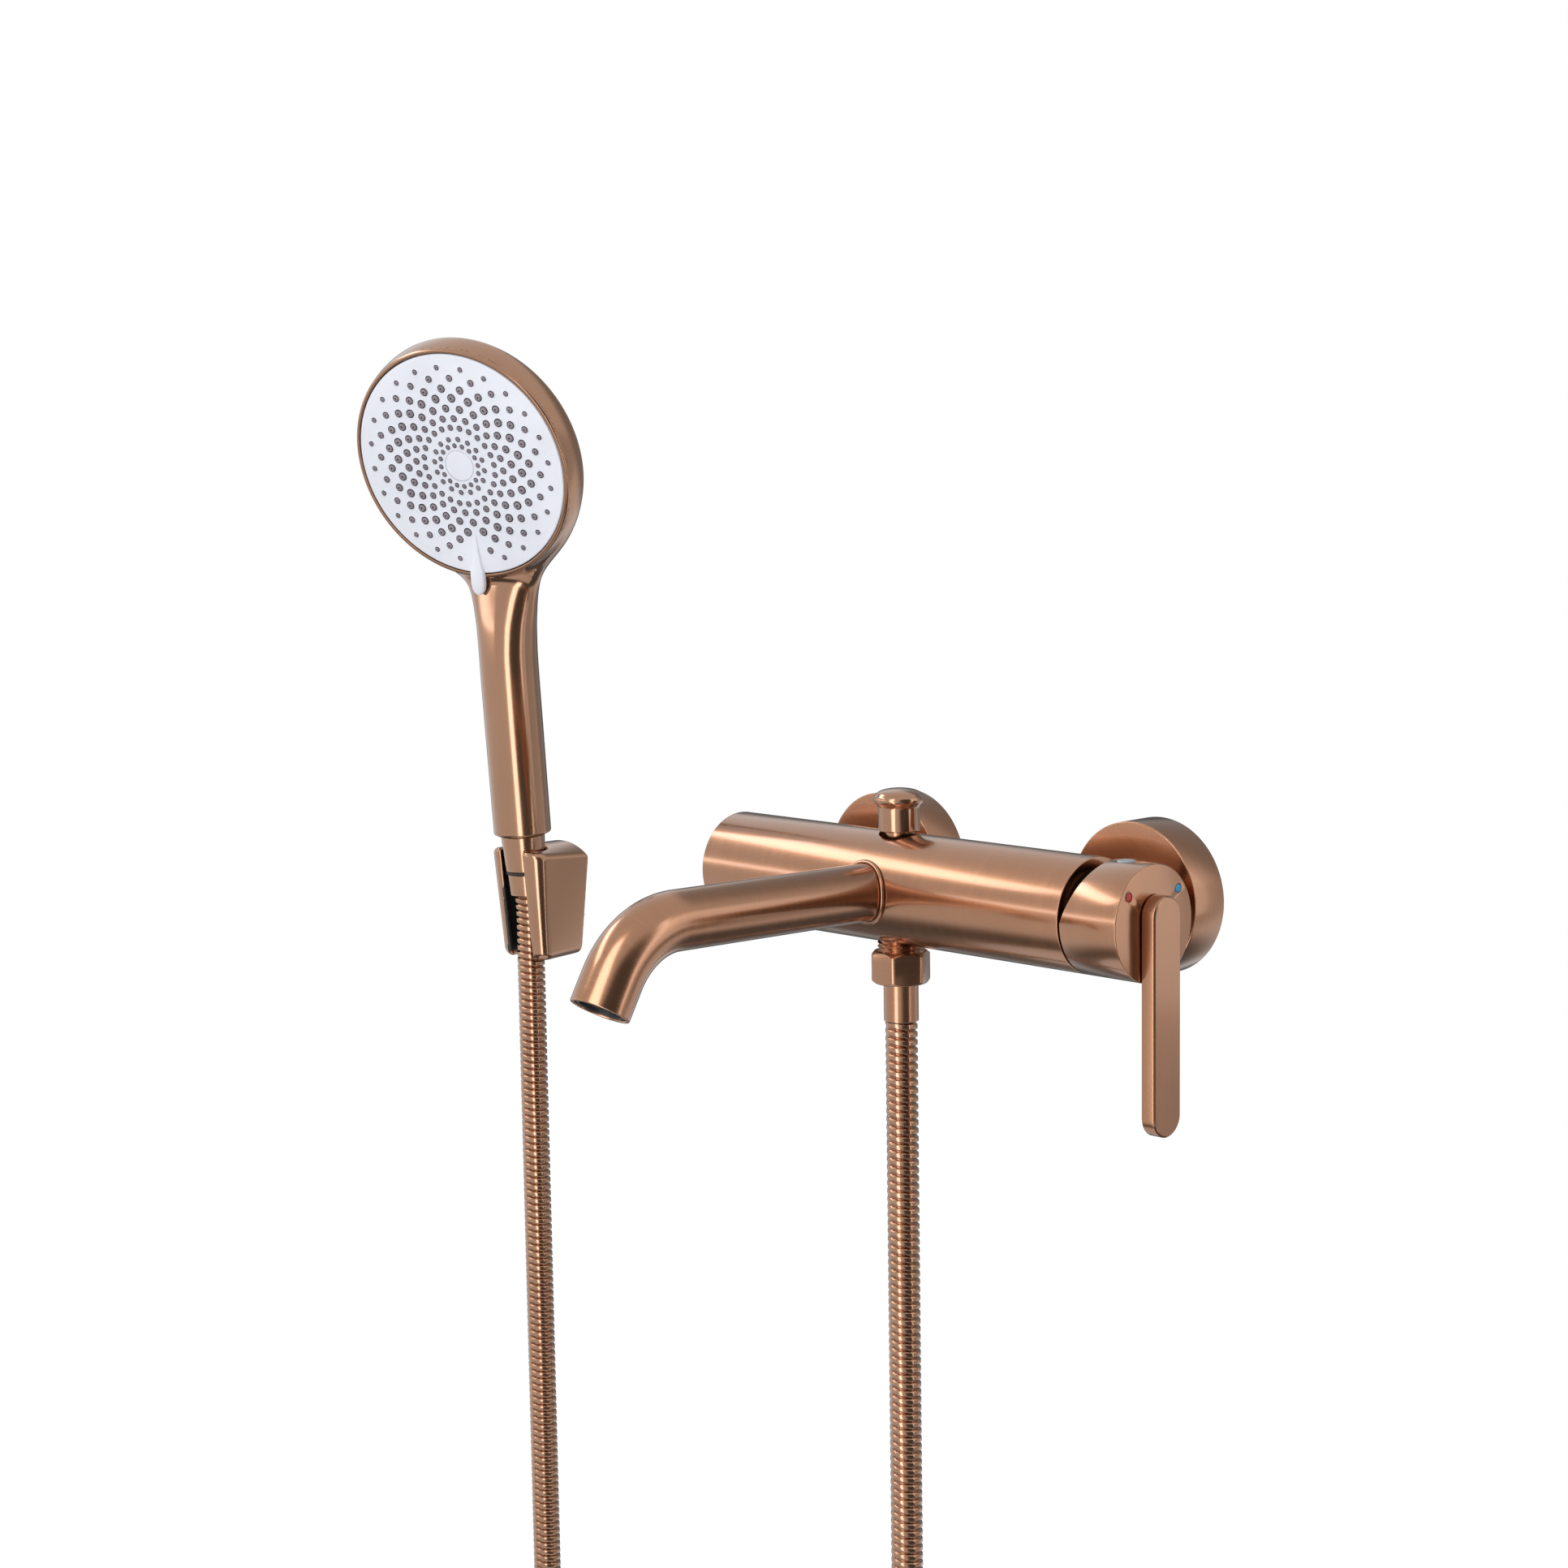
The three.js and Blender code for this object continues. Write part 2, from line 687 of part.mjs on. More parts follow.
function showerInlet() {
  return turned("z", [[-13.1, 5], [-13.1, 10.3], [-0.3, 10.3], [-0.3, 8.2], [20, 8.2], [20, 5], [-13.1, 5]]);
}

// The round head in the face's frame: +Z looks out of the spray face, -Y down to the tab.
const BOWL_INSIDE = [[-24, 0], [-23, 25], [-19.5, 44], [-14, 55], [-8, FACE_RADIUS + 0.6]];

function headBowl() {
  return turned("z", [
    [-30, 0],
    [-29, 22],
    [-26.5, 42],
    [-22, 56],
    [-17, 62.6],
    [-12.5, 64.2],
    [-6, 63.6],
    [-0.8, 62.1],
    [-0.3, 61.2],
    [-0.6, FACE_RADIUS + 0.6],
    ...BOWL_INSIDE.toReversed(),
  ], 40);
}

function placeFace(object) {
  object.position.set(0, -FACE_FORWARD, FACE_HEIGHT);
  object.rotation.x = Math.PI / 2 + FACE_TILT;
  object.updateMatrix();
  return object;
}

function showerHandle() {
  const handle = turned("z", [
    [0, 0],
    [0, HANDLE_RADIUS - 0.8],
    [0.8, HANDLE_RADIUS],
    [80, 15.3],
    [97, 15.4],
    [112, 16.3],
    [126, 18.7],
    [138, 22.8],
    [150, 28.5],
    [168, 28.5],
    [178, 0],
  ], 24);
  // The neck widens and flattens behind the head.
  const place = handle.attributes.position;
  for (let i = 0; i < place.count; i += 1) {
    const neck = THREE.MathUtils.smoothstep(place.getZ(i), 80, 145);
    place.setY(i, place.getY(i) * (1 - 0.5 * neck) + 2 * neck);
  }
  return handle;
}

function showerShell() {
  const { matrix } = placeFace(new THREE.Object3D());
  const inside = turned("z", [...BOWL_INSIDE, [3, FACE_RADIUS + 0.6], [3, 0]], 40);
  return cut(
    joined(headBowl().applyMatrix4(matrix), showerHandle()),
    inside.applyMatrix4(matrix),
    rod("z", -1, 150, 8.5, 24),
  );
}

// A slightly domed plate with the selector tab at its lower edge.
function sprayFace() {
  const edge = FACE_RADIUS - 0.2;
  const plate = turned("z", [[-4, 0], [-4, edge], [-0.8, edge], [0, edge - 1], [0.7, 40], [1, 0]], 40);
  const tab = roundEndedBar(3, 7.8, -34, 3, 0.5).rotateZ(-TAB_TURN).translate(-0.8, -37, 0.1);
  return cut(joined(plate, tab), rod("z", 0.3, 3, 8.5));
}

function addHandShower(faucet) {
  const lean = new THREE.Group();
  lean.position.copy(SHOWER_FOOT);
  lean.rotation.x = SHOWER_LEAN;
  faucet.add(lean);
  const shower = new THREE.Group();
  shower.rotation.z = SHOWER_TURN;
  lean.add(shower);
  add(lean, "hose_end_sleeve", hoseEndSleeve(), polishedCopper());
  add(shower, "cone_nut", coneNut(), polishedCopper());
  add(shower, "cone_nut_ring", pipe("z", -21.1, -19.9, 10.6, 7), rubber());
  add(shower, "shower_washer", pipe("z", -15.2, -13.4, 9.8, 5.2, 24), rubber());
  add(shower, "shower_inlet", showerInlet(), brass());
  add(shower, "shower_shell", showerShell(), polishedCopper());
  const face = placeFace(new THREE.Group());
  shower.add(face);
  add(face, "spray_core", rod("z", -11, -7.4, 54, 32), blackPlastic());
  add(face, "nozzle_mat", rod("z", -7, -4.4, 55, 32), greyPlastic());
  add(face, "spray_face", sprayFace(), whitePlastic());
  add(face, "face_inlay", rod("z", 0.6, 1.3, 8.1), whitePlastic());
}

// ---------------------------------------------------------------- the whole faucet
const faucet = new THREE.Group();
const mixer = new THREE.Group();
mixer.position.y = -WALL_TO_AXIS;
faucet.add(mixer);
add(mixer, "mixer_body", mixerBody(), copper());
add(mixer, "body_end_cap", endCap(), copper());
addInlet(mixer, "left", -INLET_SPACING / 2);
addInlet(mixer, "right", INLET_SPACING / 2);
addHandle(mixer);
addSpout(mixer);
addDiverter(mixer);
addShowerOutlet(mixer);
addHolder(faucet);
addHandShower(faucet);
add(faucet, "shower_hose", hoseTube(), polishedCopper());

export default faucet;
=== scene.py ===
"""Wall mounted bath faucet in brushed copper, with hose, wall holder and hand shower.

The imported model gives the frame: +Z up, +X right seen from the room, the wall at y = 0, metres.
Shapes are written in millimetres in local frames and placed with place().
"""

import json
from math import copysign, cos, hypot, pi, radians, sin, sqrt, tan

import bmesh
import bpy
import numpy as np
from mathutils import Matrix, Vector


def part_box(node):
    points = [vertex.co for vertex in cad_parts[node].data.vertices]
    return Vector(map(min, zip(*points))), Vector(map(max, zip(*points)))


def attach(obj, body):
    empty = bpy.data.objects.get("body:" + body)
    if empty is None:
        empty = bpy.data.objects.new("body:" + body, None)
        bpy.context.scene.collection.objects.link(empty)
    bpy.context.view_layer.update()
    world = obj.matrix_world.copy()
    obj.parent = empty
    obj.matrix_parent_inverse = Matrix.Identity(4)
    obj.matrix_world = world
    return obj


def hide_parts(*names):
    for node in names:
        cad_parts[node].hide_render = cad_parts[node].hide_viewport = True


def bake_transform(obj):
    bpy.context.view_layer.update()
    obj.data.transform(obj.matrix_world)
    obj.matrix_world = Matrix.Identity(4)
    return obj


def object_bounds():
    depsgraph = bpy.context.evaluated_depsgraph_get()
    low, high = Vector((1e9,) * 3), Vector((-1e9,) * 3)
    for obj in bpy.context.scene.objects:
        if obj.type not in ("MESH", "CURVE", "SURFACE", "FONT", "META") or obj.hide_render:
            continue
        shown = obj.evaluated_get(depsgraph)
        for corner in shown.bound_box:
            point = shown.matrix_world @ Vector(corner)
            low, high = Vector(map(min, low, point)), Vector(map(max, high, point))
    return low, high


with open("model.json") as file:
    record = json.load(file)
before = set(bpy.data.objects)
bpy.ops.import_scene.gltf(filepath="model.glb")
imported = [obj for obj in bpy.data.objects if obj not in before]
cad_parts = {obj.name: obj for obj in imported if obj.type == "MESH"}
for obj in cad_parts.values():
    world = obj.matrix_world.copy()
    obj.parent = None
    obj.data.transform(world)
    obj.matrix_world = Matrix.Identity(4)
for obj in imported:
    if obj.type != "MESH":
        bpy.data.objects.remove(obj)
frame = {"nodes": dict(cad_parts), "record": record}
CAD_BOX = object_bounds()
MM = 0.001
JOINTS = {joint["name"]: joint for joint in frame["record"]["behaviour"]["joints"]}

# ---- dimensions, millimetres
CAMERA_AIM = (-52.3, -105.2, 48.9)
CAMERA_DISTANCE = 1300
CAMERA_AZIMUTH = 46
CAMERA_ELEVATION = 7.25
CAMERA_ROLL = -0.9
CAMERA_LENS = 67.7

BODY_RADIUS = 25
WALL_TO_AXIS = 60
SPOUT_RADIUS = 13
SPOUT_BORE = 11.2
SPOUT_RISE = radians(1.2)
SPOUT_STRAIGHT = 135
SPOUT_BEND_RADIUS = 40
SPOUT_BEND = radians(61)
SPOUT_TAIL = 14
SPOUT_LENGTH = SPOUT_STRAIGHT + SPOUT_BEND_RADIUS * SPOUT_BEND + SPOUT_TAIL
FLANGE_RADIUS = 34.25
FLANGE_DEPTH = 20
KNOB_TOP = 44.8
HOSE_DIAMETER = 14.5
HOSE_PITCH = 3.7
HOSE_GROOVE = 1.3
SHOWER_LEAN = radians(3.9)
SHOWER_TURN = radians(19)
FACE_TILT = radians(15.7)  # spray face against the handle's axis
FACE_HEIGHT = 196.4
FACE_FORWARD = 30.3
FACE_RADIUS = 59.3
HANDLE_RADIUS = 15.1
TAB_START = (-0.8, -37)
TAB_TURN = radians(10.5)
HEAD_RADIUS = 63.4  # the round head at its widest
RIM_DRAW = 1.9  # how far its rim draws in from there to the front
BRUSH_ON_ENDS = 1.3  # step of the brushing lines over a flat end, against their step along the side
FLOOR_CENTRE = (-130, -100)
FLOOR_RADIUS = 450
FLOOR_DROP = 60  # from the hose's lowest point to the floor


# ---- frames
def middle(node):
    low, high = (Vector(corner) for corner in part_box(node))
    return (low + high) / 2


def place(x=0.0, y=0.0, z=0.0, turn=None):
    """Matrix from a local frame in millimetres to the row frame in metres."""
    rotation = turn.to_4x4() if turn else Matrix.Identity(4)
    return Matrix.Translation(Vector((x, y, z)) * MM) @ rotation @ Matrix.Scale(MM, 4)


AXIS_X = Matrix(((0, 0, 1), (0, 1, 0), (-1, 0, 0)))  # local +Z to +X
AXIS_Y = Matrix(((1, 0, 0), (0, 0, 1), (0, -1, 0)))  # local +Z to +Y
VALVE_X = middle("diverter_rod").x / MM
HOLDER_X = middle("shower_holder").x / MM
INLET_X = {side: middle(side + "_flange").x / MM for side in ("left", "right")}
PLUG_X = middle("screw_plug").x / MM
ALONG_X = place(0, -WALL_TO_AXIS, 0, AXIS_X)
VALVE = place(VALVE_X, -WALL_TO_AXIS, 0)
SPOUT = place(VALVE_X, -WALL_TO_AXIS, 0, Matrix.Rotation(-SPOUT_RISE, 3, "X"))
SHOWER_FOOT = Vector(JOINTS["shower_turn"]["pos_m"]) / MM
LEAN = place(*SHOWER_FOOT, Matrix.Rotation(SHOWER_LEAN, 3, "X"))
HANDLE = LEAN @ Matrix.Rotation(SHOWER_TURN, 4, "Z")
FACE = (
    HANDLE
    @ Matrix.Translation((0, -FACE_FORWARD, FACE_HEIGHT))
    @ Matrix.Rotation(pi / 2 + FACE_TILT, 4, "X")
)


# ---- mesh helpers
def new_object(name, vertices, faces, matrix):
    mesh = bpy.data.meshes.new(name)
    mesh.from_pydata([tuple(v) for v in vertices], [], faces)
    mesh.transform(matrix)
    mesh.validate()
    thing = bpy.data.objects.new(name, mesh)
    bpy.context.scene.collection.objects.link(thing)
    return thing


def tidy(thing, crease=32):
    """Merges doubled points, points the faces outward, and shades smooth up to the crease angle."""
    mesh = thing.data
    work = bmesh.new()
    work.from_mesh(mesh)
    bmesh.ops.remove_doubles(work, verts=work.verts, dist=1e-6)
    bmesh.ops.recalc_face_normals(work, faces=work.faces)
    work.to_mesh(mesh)
    work.free()
    mesh.shade_smooth()
    mesh.set_sharp_from_angle(angle=radians(crease))
    return thing


def rounded(profile, radius, steps=4):
    """Replaces each corner of a (along, radius) profile with a small curve."""
    closed = profile[0] == profile[-1]
    corners = [Vector(p) for p in (profile[:-1] if closed else profile)]
    count = len(corners)
    points = []
    for i, corner in enumerate(corners):
        if not closed and i in (0, count - 1):
            points.append(corner)
            continue
        before = corners[i - 1] - corner
        after = corners[(i + 1) % count] - corner
        bend = before.angle(after, pi)
        reach = min(radius, 0.45 * before.length, 0.45 * after.length)
        if reach < 1e-4 or bend > radians(172):
            points.append(corner)
            continue
        start = corner + before.normalized() * reach
        end = corner + after.normalized() * reach
        for k in range(steps + 1):
            t = k / steps
            points.append(start * (1 - t) ** 2 + corner * (2 * t * (1 - t)) + end * t * t)
    if closed:
        points.append(points[0])
    return points


def grid_faces(rows, around):
    faces = []
    for i in range(rows - 1):
        for j in range(around):
            k = (j + 1) % around
            faces.append((i * around + j, i * around + k, (i + 1) * around + k, (i + 1) * around + j))
    return faces


def end_faces(around, count):
    """The two flat ends of a tube that is made of rings."""
    return [tuple(reversed(range(around))), tuple(range(count - around, count))]


def ring(radius, along, around, x=0.0, y=0.0):
    angles = [2 * pi * j / around for j in range(around)]
    return [(x + radius * cos(angle), y + radius * sin(angle), along) for angle in angles]


def lathe(name, profile, matrix, around=96, soft=0.0, crease=32):
    """Turned piece about local +Z. soft rounds its corners, in millimetres."""
    points = rounded(profile, soft) if soft else [Vector(p) for p in profile]
    vertices = [vertex for along, radius in points for vertex in ring(radius, along, around)]
    return tidy(new_object(name, vertices, grid_faces(len(points), around), matrix), crease)


def rod_profile(low, high, radius, bore=0.0):
    if bore:
        return [(low, bore), (low, radius), (high, radius), (high, bore), (low, bore)]
    return [(low, 0), (low, radius), (high, radius), (high, 0)]


def prism(name, outline, low, high, matrix):
    """Extrudes an (x, y) outline along local Z."""
    count = len(outline)
    vertices = [(x, y, z) for z in (low, high) for x, y in outline]
    faces = end_faces(count, 2 * count)
    faces += [(j, (j + 1) % count, count + (j + 1) % count, count + j) for j in range(count)]
    return tidy(new_object(name, vertices, faces, matrix))


def carve(thing, tool, operation="DIFFERENCE"):
    modifier = thing.modifiers.new("carve", "BOOLEAN")
    modifier.operation = operation
    modifier.solver = "EXACT"
    modifier.object = tool
    apply_modifiers(thing)
    bpy.data.objects.remove(tool)
    tidy(thing)


def apply_modifiers(thing):
    graph = bpy.context.evaluated_depsgraph_get()
    mesh = bpy.data.meshes.new_from_object(thing.evaluated_get(graph))
    thing.modifiers.clear()
    thing.data = mesh


def soften(thing, width):
    """Rounds the sharp edges of a piece, width in millimetres."""
    modifier = thing.modifiers.new("soften", "BEVEL")
    modifier.width = width * MM
    modifier.segments = 2
    modifier.limit_method = "ANGLE"
    modifier.angle_limit = radians(35)
    apply_modifiers(thing)
    thing.data.shade_smooth()
    thing.data.set_sharp_from_angle(angle=radians(50))
    return thing


def hexagon(across_flats):
    corner = across_flats / sqrt(3)
    return [(corner * cos(a), corner * sin(a)) for a in (pi / 3 * k for k in range(6))]


def hex_nut(name, low, high, across_flats, matrix, bore, turn=0.0, edge=0.6):
    """Nut with chamfered ends. bore lists (bottom, top, radius), edge rounds its upright edges."""
    corner = across_flats / sqrt(3)
    drop = 0.13 * corner
    spin = matrix @ Matrix.Rotation(turn, 4, "Z")
    outline = rounded([*hexagon(across_flats), hexagon(across_flats)[0]], edge)[:-1]
    nut = prism(name, [tuple(p) for p in outline], low, high, spin)
    face = across_flats / 2 - 0.2
    barrel = [
        (low - 0.01, 0),
        (low - 0.01, face),
        (low + drop, corner + 0.05),
        (high - drop, corner + 0.05),
        (high + 0.01, face),
        (high + 0.01, 0),
    ]
    carve(nut, lathe("barrel", barrel, matrix), "INTERSECT")
    for bottom, top, radius in bore:
        carve(nut, lathe("bore", rod_profile(bottom, top, radius), matrix, 64))
    return soften(nut, 0.25)


# ---- brushing direction
def brush(thing, lines):
    """Stores each point's place in the brushing: lines(x, y, z) gives (slow, slow, across), in mm."""
    mesh = thing.data
    count = len(mesh.vertices)
    co = np.empty(count * 3)
    mesh.vertices.foreach_get("co", co)
    x, y, z = (co.reshape(-1, 3) / MM).T
    place_in_brushing = np.stack(lines(x, y, z), 1).astype(np.float32)
    attribute = mesh.attributes.get("brush") or mesh.attributes.new("brush", "FLOAT_VECTOR", "POINT")
    attribute.data.foreach_set("vector", place_in_brushing.ravel())
    return thing


def round_x(x, y, z):
    """Lines run round the mixer's axis, and in circles on its flat ends."""
    depth = y + WALL_TO_AXIS
    return depth, z, x + BRUSH_ON_ENDS * np.hypot(depth, z)


def round_valve(x, y, z):
    """Lines run round the upright axis of the diverter and the shower outlet."""
    across, depth = x - VALVE_X, y + WALL_TO_AXIS
    return across, depth, z + BRUSH_ON_ENDS * np.hypot(across, depth)


def upright(x, y, z):
    """Lines run up and down the lever's front and sides."""
    return z, 0 * x, y + BRUSH_ON_ENDS * x


def slanted(centre_x):
    """Lines run on the slant over the front of a flange, and round its side."""

    def lines(x, y, z):
        slope = radians(38)
        across = (x - centre_x) * sin(slope) + z * cos(slope)
        along = (x - centre_x) * cos(slope) - z * sin(slope)
        side = np.hypot(x - centre_x, z) > FLANGE_RADIUS - 0.3
        return np.where(side, x, along), np.where(side, z, 0), np.where(side, y, across)

    return lines


# ---- materials
class Nodes:
    """Short helpers for the nodes of one tree."""

    def __init__(self, tree):
        self.tree = tree

    def node(self, kind, values=(), **settings):
        made = self.tree.nodes.new(kind)
        for key, value in settings.items():
            setattr(made, key, value)
        for socket, value in values:
            made.inputs[socket].default_value = value
        return made

    def link(self, source, target):
        self.tree.links.new(source, target)

    def combine(self, one, two, operation="ADD"):
        made = self.node("ShaderNodeMath", operation=operation)
        self.link(one, made.inputs[0])
        self.link(two, made.inputs[1])
        return made.outputs["Value"]

    def ramp(self, value, low, high, at_low, at_high, **settings):
        values = [("From Min", low), ("From Max", high), ("To Min", at_low), ("To Max", at_high)]
        made = self.node("ShaderNodeMapRange", values, **settings)
        self.link(value, made.inputs["Value"])
        return made.outputs["Result"]


class Shader(Nodes):
    """A node material with a Principled shader."""

    def __init__(self, name, **values):
        self.material = bpy.data.materials.new(name)
        self.material.use_nodes = True
        super().__init__(self.material.node_tree)
        self.bsdf = self.tree.nodes["Principled BSDF"]
        for socket, value in values.items():
            self.bsdf.inputs[socket.replace("_", " ")].default_value = value

    def coordinates(self, scale, attribute=None):
        if attribute:
            source = self.node("ShaderNodeAttribute", attribute_name=attribute).outputs["Vector"]
        else:
            source = self.node("ShaderNodeTexCoord").outputs["Object"]
        mapping = self.node("ShaderNodeMapping", [("Scale", scale)])
        self.link(source, mapping.inputs["Vector"])
        return mapping.outputs["Vector"]

    def noise(self, vector, detail=3.0, roughness=0.5):
        values = [("Scale", 1.0), ("Detail", detail), ("Roughness", roughness)]
        made = self.node("ShaderNodeTexNoise", values)
        self.link(vector, made.inputs["Vector"])
        return made.outputs["Fac"]

    def spread(self, value, low, high):
        """Stretches a noise of about 0.3 to 0.7 over low to high."""
        return self.ramp(value, 0.3, 0.7, low, high)

    def blend(self, factor, one, two):
        """Base colour from one to two as the factor goes from 0 to 1."""
        made = self.node("ShaderNodeMix", data_type="RGBA")
        self.link(factor, made.inputs["Factor"])
        made.inputs["A"].default_value = (*one, 1)
        made.inputs["B"].default_value = (*two, 1)
        self.link(made.outputs["Result"], self.bsdf.inputs["Base Color"])

    def bump(self, height, strength, distance):
        made = self.node("ShaderNodeBump", [("Strength", strength), ("Distance", distance * MM)])
        self.link(height, made.inputs["Height"])
        self.link(made.outputs["Normal"], self.bsdf.inputs["Normal"])


def brushed_metal(name, light, dark, gloss, streak):
    """Brushed plating under clear lacquer: fine lines along the stored brushing direction."""
    shader = Shader(name, Metallic=1.0, Coat_Weight=1.0, Coat_Roughness=0.11, Coat_IOR=1.5)
    fine = shader.noise(shader.coordinates((0.04, 0.04, 4.5), "brush"), detail=4, roughness=0.6)
    broad = shader.noise(shader.coordinates((0.02, 0.02, 0.6), "brush"), detail=3)
    cloud = shader.noise(shader.coordinates((16, 16, 16)), detail=2)
    tone = shader.combine(shader.spread(fine, 0, 0.4), shader.spread(broad, 0, 0.2))
    tone = shader.combine(tone, shader.spread(cloud, 0, 0.45))
    shader.blend(tone, dark, light)
    rough = shader.combine(shader.spread(fine, 0, streak), shader.spread(broad, gloss, gloss + 0.5 * streak))
    shader.link(rough, shader.bsdf.inputs["Roughness"])
    shader.bump(fine, 0.1, 0.02)
    return shader.material


def polished_metal(name, light, dark, gloss):
    """Satin polished plating: slow drift of colour and gloss, and a very fine grain."""
    shader = Shader(name, Metallic=1.0, Coat_Weight=1.0, Coat_Roughness=0.1, Coat_IOR=1.6)
    cloud = shader.noise(shader.coordinates((22, 22, 22)), detail=3)
    grain = shader.noise(shader.coordinates((1500, 1500, 1500)), detail=2)
    shader.blend(shader.spread(cloud, 0, 1), dark, light)
    rough = shader.combine(shader.spread(cloud, gloss, gloss + 0.03), shader.spread(grain, 0, 0.03))
    shader.link(rough, shader.bsdf.inputs["Roughness"])
    shader.bump(grain, 0.03, 0.01)
    return shader.material


def grained(name, light, dark, gloss, grain=900.0, depth=0.02, **values):
    """Moulded plastic, rubber or machined metal: a fine grain over a slow drift of colour."""
    shader = Shader(name, **values)
    grains = shader.noise(shader.coordinates((grain, grain, grain)), detail=2)
    drift = shader.noise(shader.coordinates((30, 30, 30)), detail=2)
    shader.blend(shader.spread(drift, 0, 1), dark, light)
    shader.link(shader.spread(grains, gloss - 0.05, gloss + 0.07), shader.bsdf.inputs["Roughness"])
    shader.bump(grains, 0.3, depth)
    return shader.material


COPPER = brushed_metal("brushed_copper", (0.46, 0.222, 0.118), (0.37, 0.176, 0.091), 0.2, 0.05)
POLISHED = polished_metal("polished_copper", (0.45, 0.232, 0.128), (0.4, 0.202, 0.11), 0.15)
BRASS = grained("raw_brass", (0.66, 0.47, 0.19), (0.5, 0.34, 0.12), 0.3, Metallic=1.0)
STEEL = grained("steel", (0.6, 0.6, 0.62), (0.45, 0.45, 0.47), 0.28, Metallic=1.0)
WHITE = grained("white_plastic", (0.75, 0.765, 0.83), (0.7, 0.715, 0.78), 0.32, 500, 0.006)
GREY = grained("grey_plastic", (0.36, 0.38, 0.41), (0.28, 0.3, 0.33), 0.3, 700, 0.01)
BLACK = grained("black_plastic", (0.016, 0.016, 0.017), (0.01, 0.01, 0.01), 0.4, 800, 0.01)
RUBBER = grained("rubber", (0.03, 0.03, 0.03), (0.018, 0.018, 0.018), 0.65, 1200, 0.02)
# brass darkened to near black: painted shade for the cartridge nut seen through the gap
BRASS_PAINTED_SHADE = grained("brass_painted_shade", (0.1, 0.06, 0.035), (0.06, 0.037, 0.022), 0.45, Metallic=1.0)
SILICONE = grained("nozzle_silicone", (0.27, 0.235, 0.265), (0.21, 0.185, 0.21), 0.4, 900, 0.01)
# near black: painted shade in the groove round each nozzle and in its hole
NOZZLE_SHADE = grained("nozzle_painted_shade", (0.014, 0.012, 0.014), (0.008, 0.008, 0.008), 0.5, 900, 0.01)
RED = grained("hot_red", (0.62, 0.03, 0.03), (0.48, 0.02, 0.02), 0.25, 900, 0.005)
BLUE = grained("cold_blue", (0.02, 0.36, 0.72), (0.013, 0.27, 0.56), 0.25, 900, 0.005)


def finish_piece(thing, material, body, slot, *nodes):
    thing.data.materials.clear()
    thing.data.materials.append(material)
    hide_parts(*nodes)
    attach(thing, body)


def copper_piece(thing, lines, node, body="faucet"):
    finish_piece(brush(thing, lines), COPPER, body, "brushed_copper", node)


# ---- camera
def make_camera():
    azimuth, elevation = radians(CAMERA_AZIMUTH), radians(CAMERA_ELEVATION)
    back = Vector((
        sin(azimuth) * cos(elevation),
        -cos(azimuth) * cos(elevation),
        sin(elevation),
    ))
    right = Vector((cos(azimuth), sin(azimuth), 0))
    up = back.cross(right)
    turn = Matrix((right, up, back)).transposed() @ Matrix.Rotation(radians(CAMERA_ROLL), 3, "Z")
    data = bpy.data.cameras.new("camera")
    data.sensor_width = 36
    data.lens = CAMERA_LENS
    data.clip_start = 0.01
    camera = bpy.data.objects.new("camera", data)
    camera.matrix_world = Matrix.Translation(
        (Vector(CAMERA_AIM) + back * CAMERA_DISTANCE) * MM
    ) @ turn.to_4x4()
    bpy.context.scene.collection.objects.link(camera)
    bpy.context.scene.camera = camera


# ---- hose
def along_handle(height):
    up = Vector((0, -sin(SHOWER_LEAN), cos(SHOWER_LEAN)))
    return SHOWER_FOOT + up * height


def hose_route():
    """Two hanging legs joined by half an ellipse, from the outlet to the hand shower's sleeve."""
    outlet = Vector((VALVE_X, -WALL_TO_AXIS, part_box("hose_ferrule")[0][2] / MM - 0.3))
    end = along_handle(-32.9)
    leg_y = end.y + 1.2
    turn_z, drop = -506, 220
    points = []
    z = outlet.z
    while z > turn_z:
        points.append(Vector((outlet.x, outlet.y, z)))
        z -= 63
    for i in range(13):
        angle = i * pi / 12
        across = (1 - cos(angle)) / 2
        points.append(Vector((
            outlet.x + (end.x - outlet.x) * across,
            outlet.y + (leg_y - outlet.y) * across,
            turn_z - drop * sin(angle),
        )))
    points += [Vector((end.x, leg_y, z)) for z in (-443, -380, -317, -254, -191, -128, -85)]
    points += [Vector((end.x, end.y + 0.9, -62)), along_handle(-40.9), end]
    return points


def smooth_line(points, step):
    """Centripetal Catmull-Rom line through the points, resampled at an even step."""
    padded = [points[0] * 2 - points[1], *points, points[-1] * 2 - points[-2]]
    dense = []
    for p0, p1, p2, p3 in zip(padded, padded[1:], padded[2:], padded[3:]):
        t1 = (p1 - p0).length ** 0.5
        t2 = t1 + (p2 - p1).length ** 0.5
        t3 = t2 + (p3 - p2).length ** 0.5
        for k in range(24):
            t = t1 + (t2 - t1) * k / 24
            a1 = p0 * ((t1 - t) / t1) + p1 * (t / t1)
            a2 = p1 * ((t2 - t) / (t2 - t1)) + p2 * ((t - t1) / (t2 - t1))
            a3 = p2 * ((t3 - t) / (t3 - t2)) + p3 * ((t - t2) / (t3 - t2))
            b1 = a1 * ((t2 - t) / t2) + a2 * (t / t2)
            b2 = a2 * ((t3 - t) / (t3 - t1)) + a3 * ((t - t1) / (t3 - t1))
            dense.append(b1 * ((t2 - t) / (t2 - t1)) + b2 * ((t - t1) / (t2 - t1)))
    dense.append(points[-1])
    line = np.array([tuple(p) for p in dense])
    lengths = np.concatenate([[0], np.cumsum(np.linalg.norm(np.diff(line, axis=0), axis=1))])
    stops = np.linspace(0, lengths[-1], max(2, round(lengths[-1] / step)) + 1)
    return np.stack([np.interp(stops, lengths, line[:, k]) for k in range(3)], 1), stops


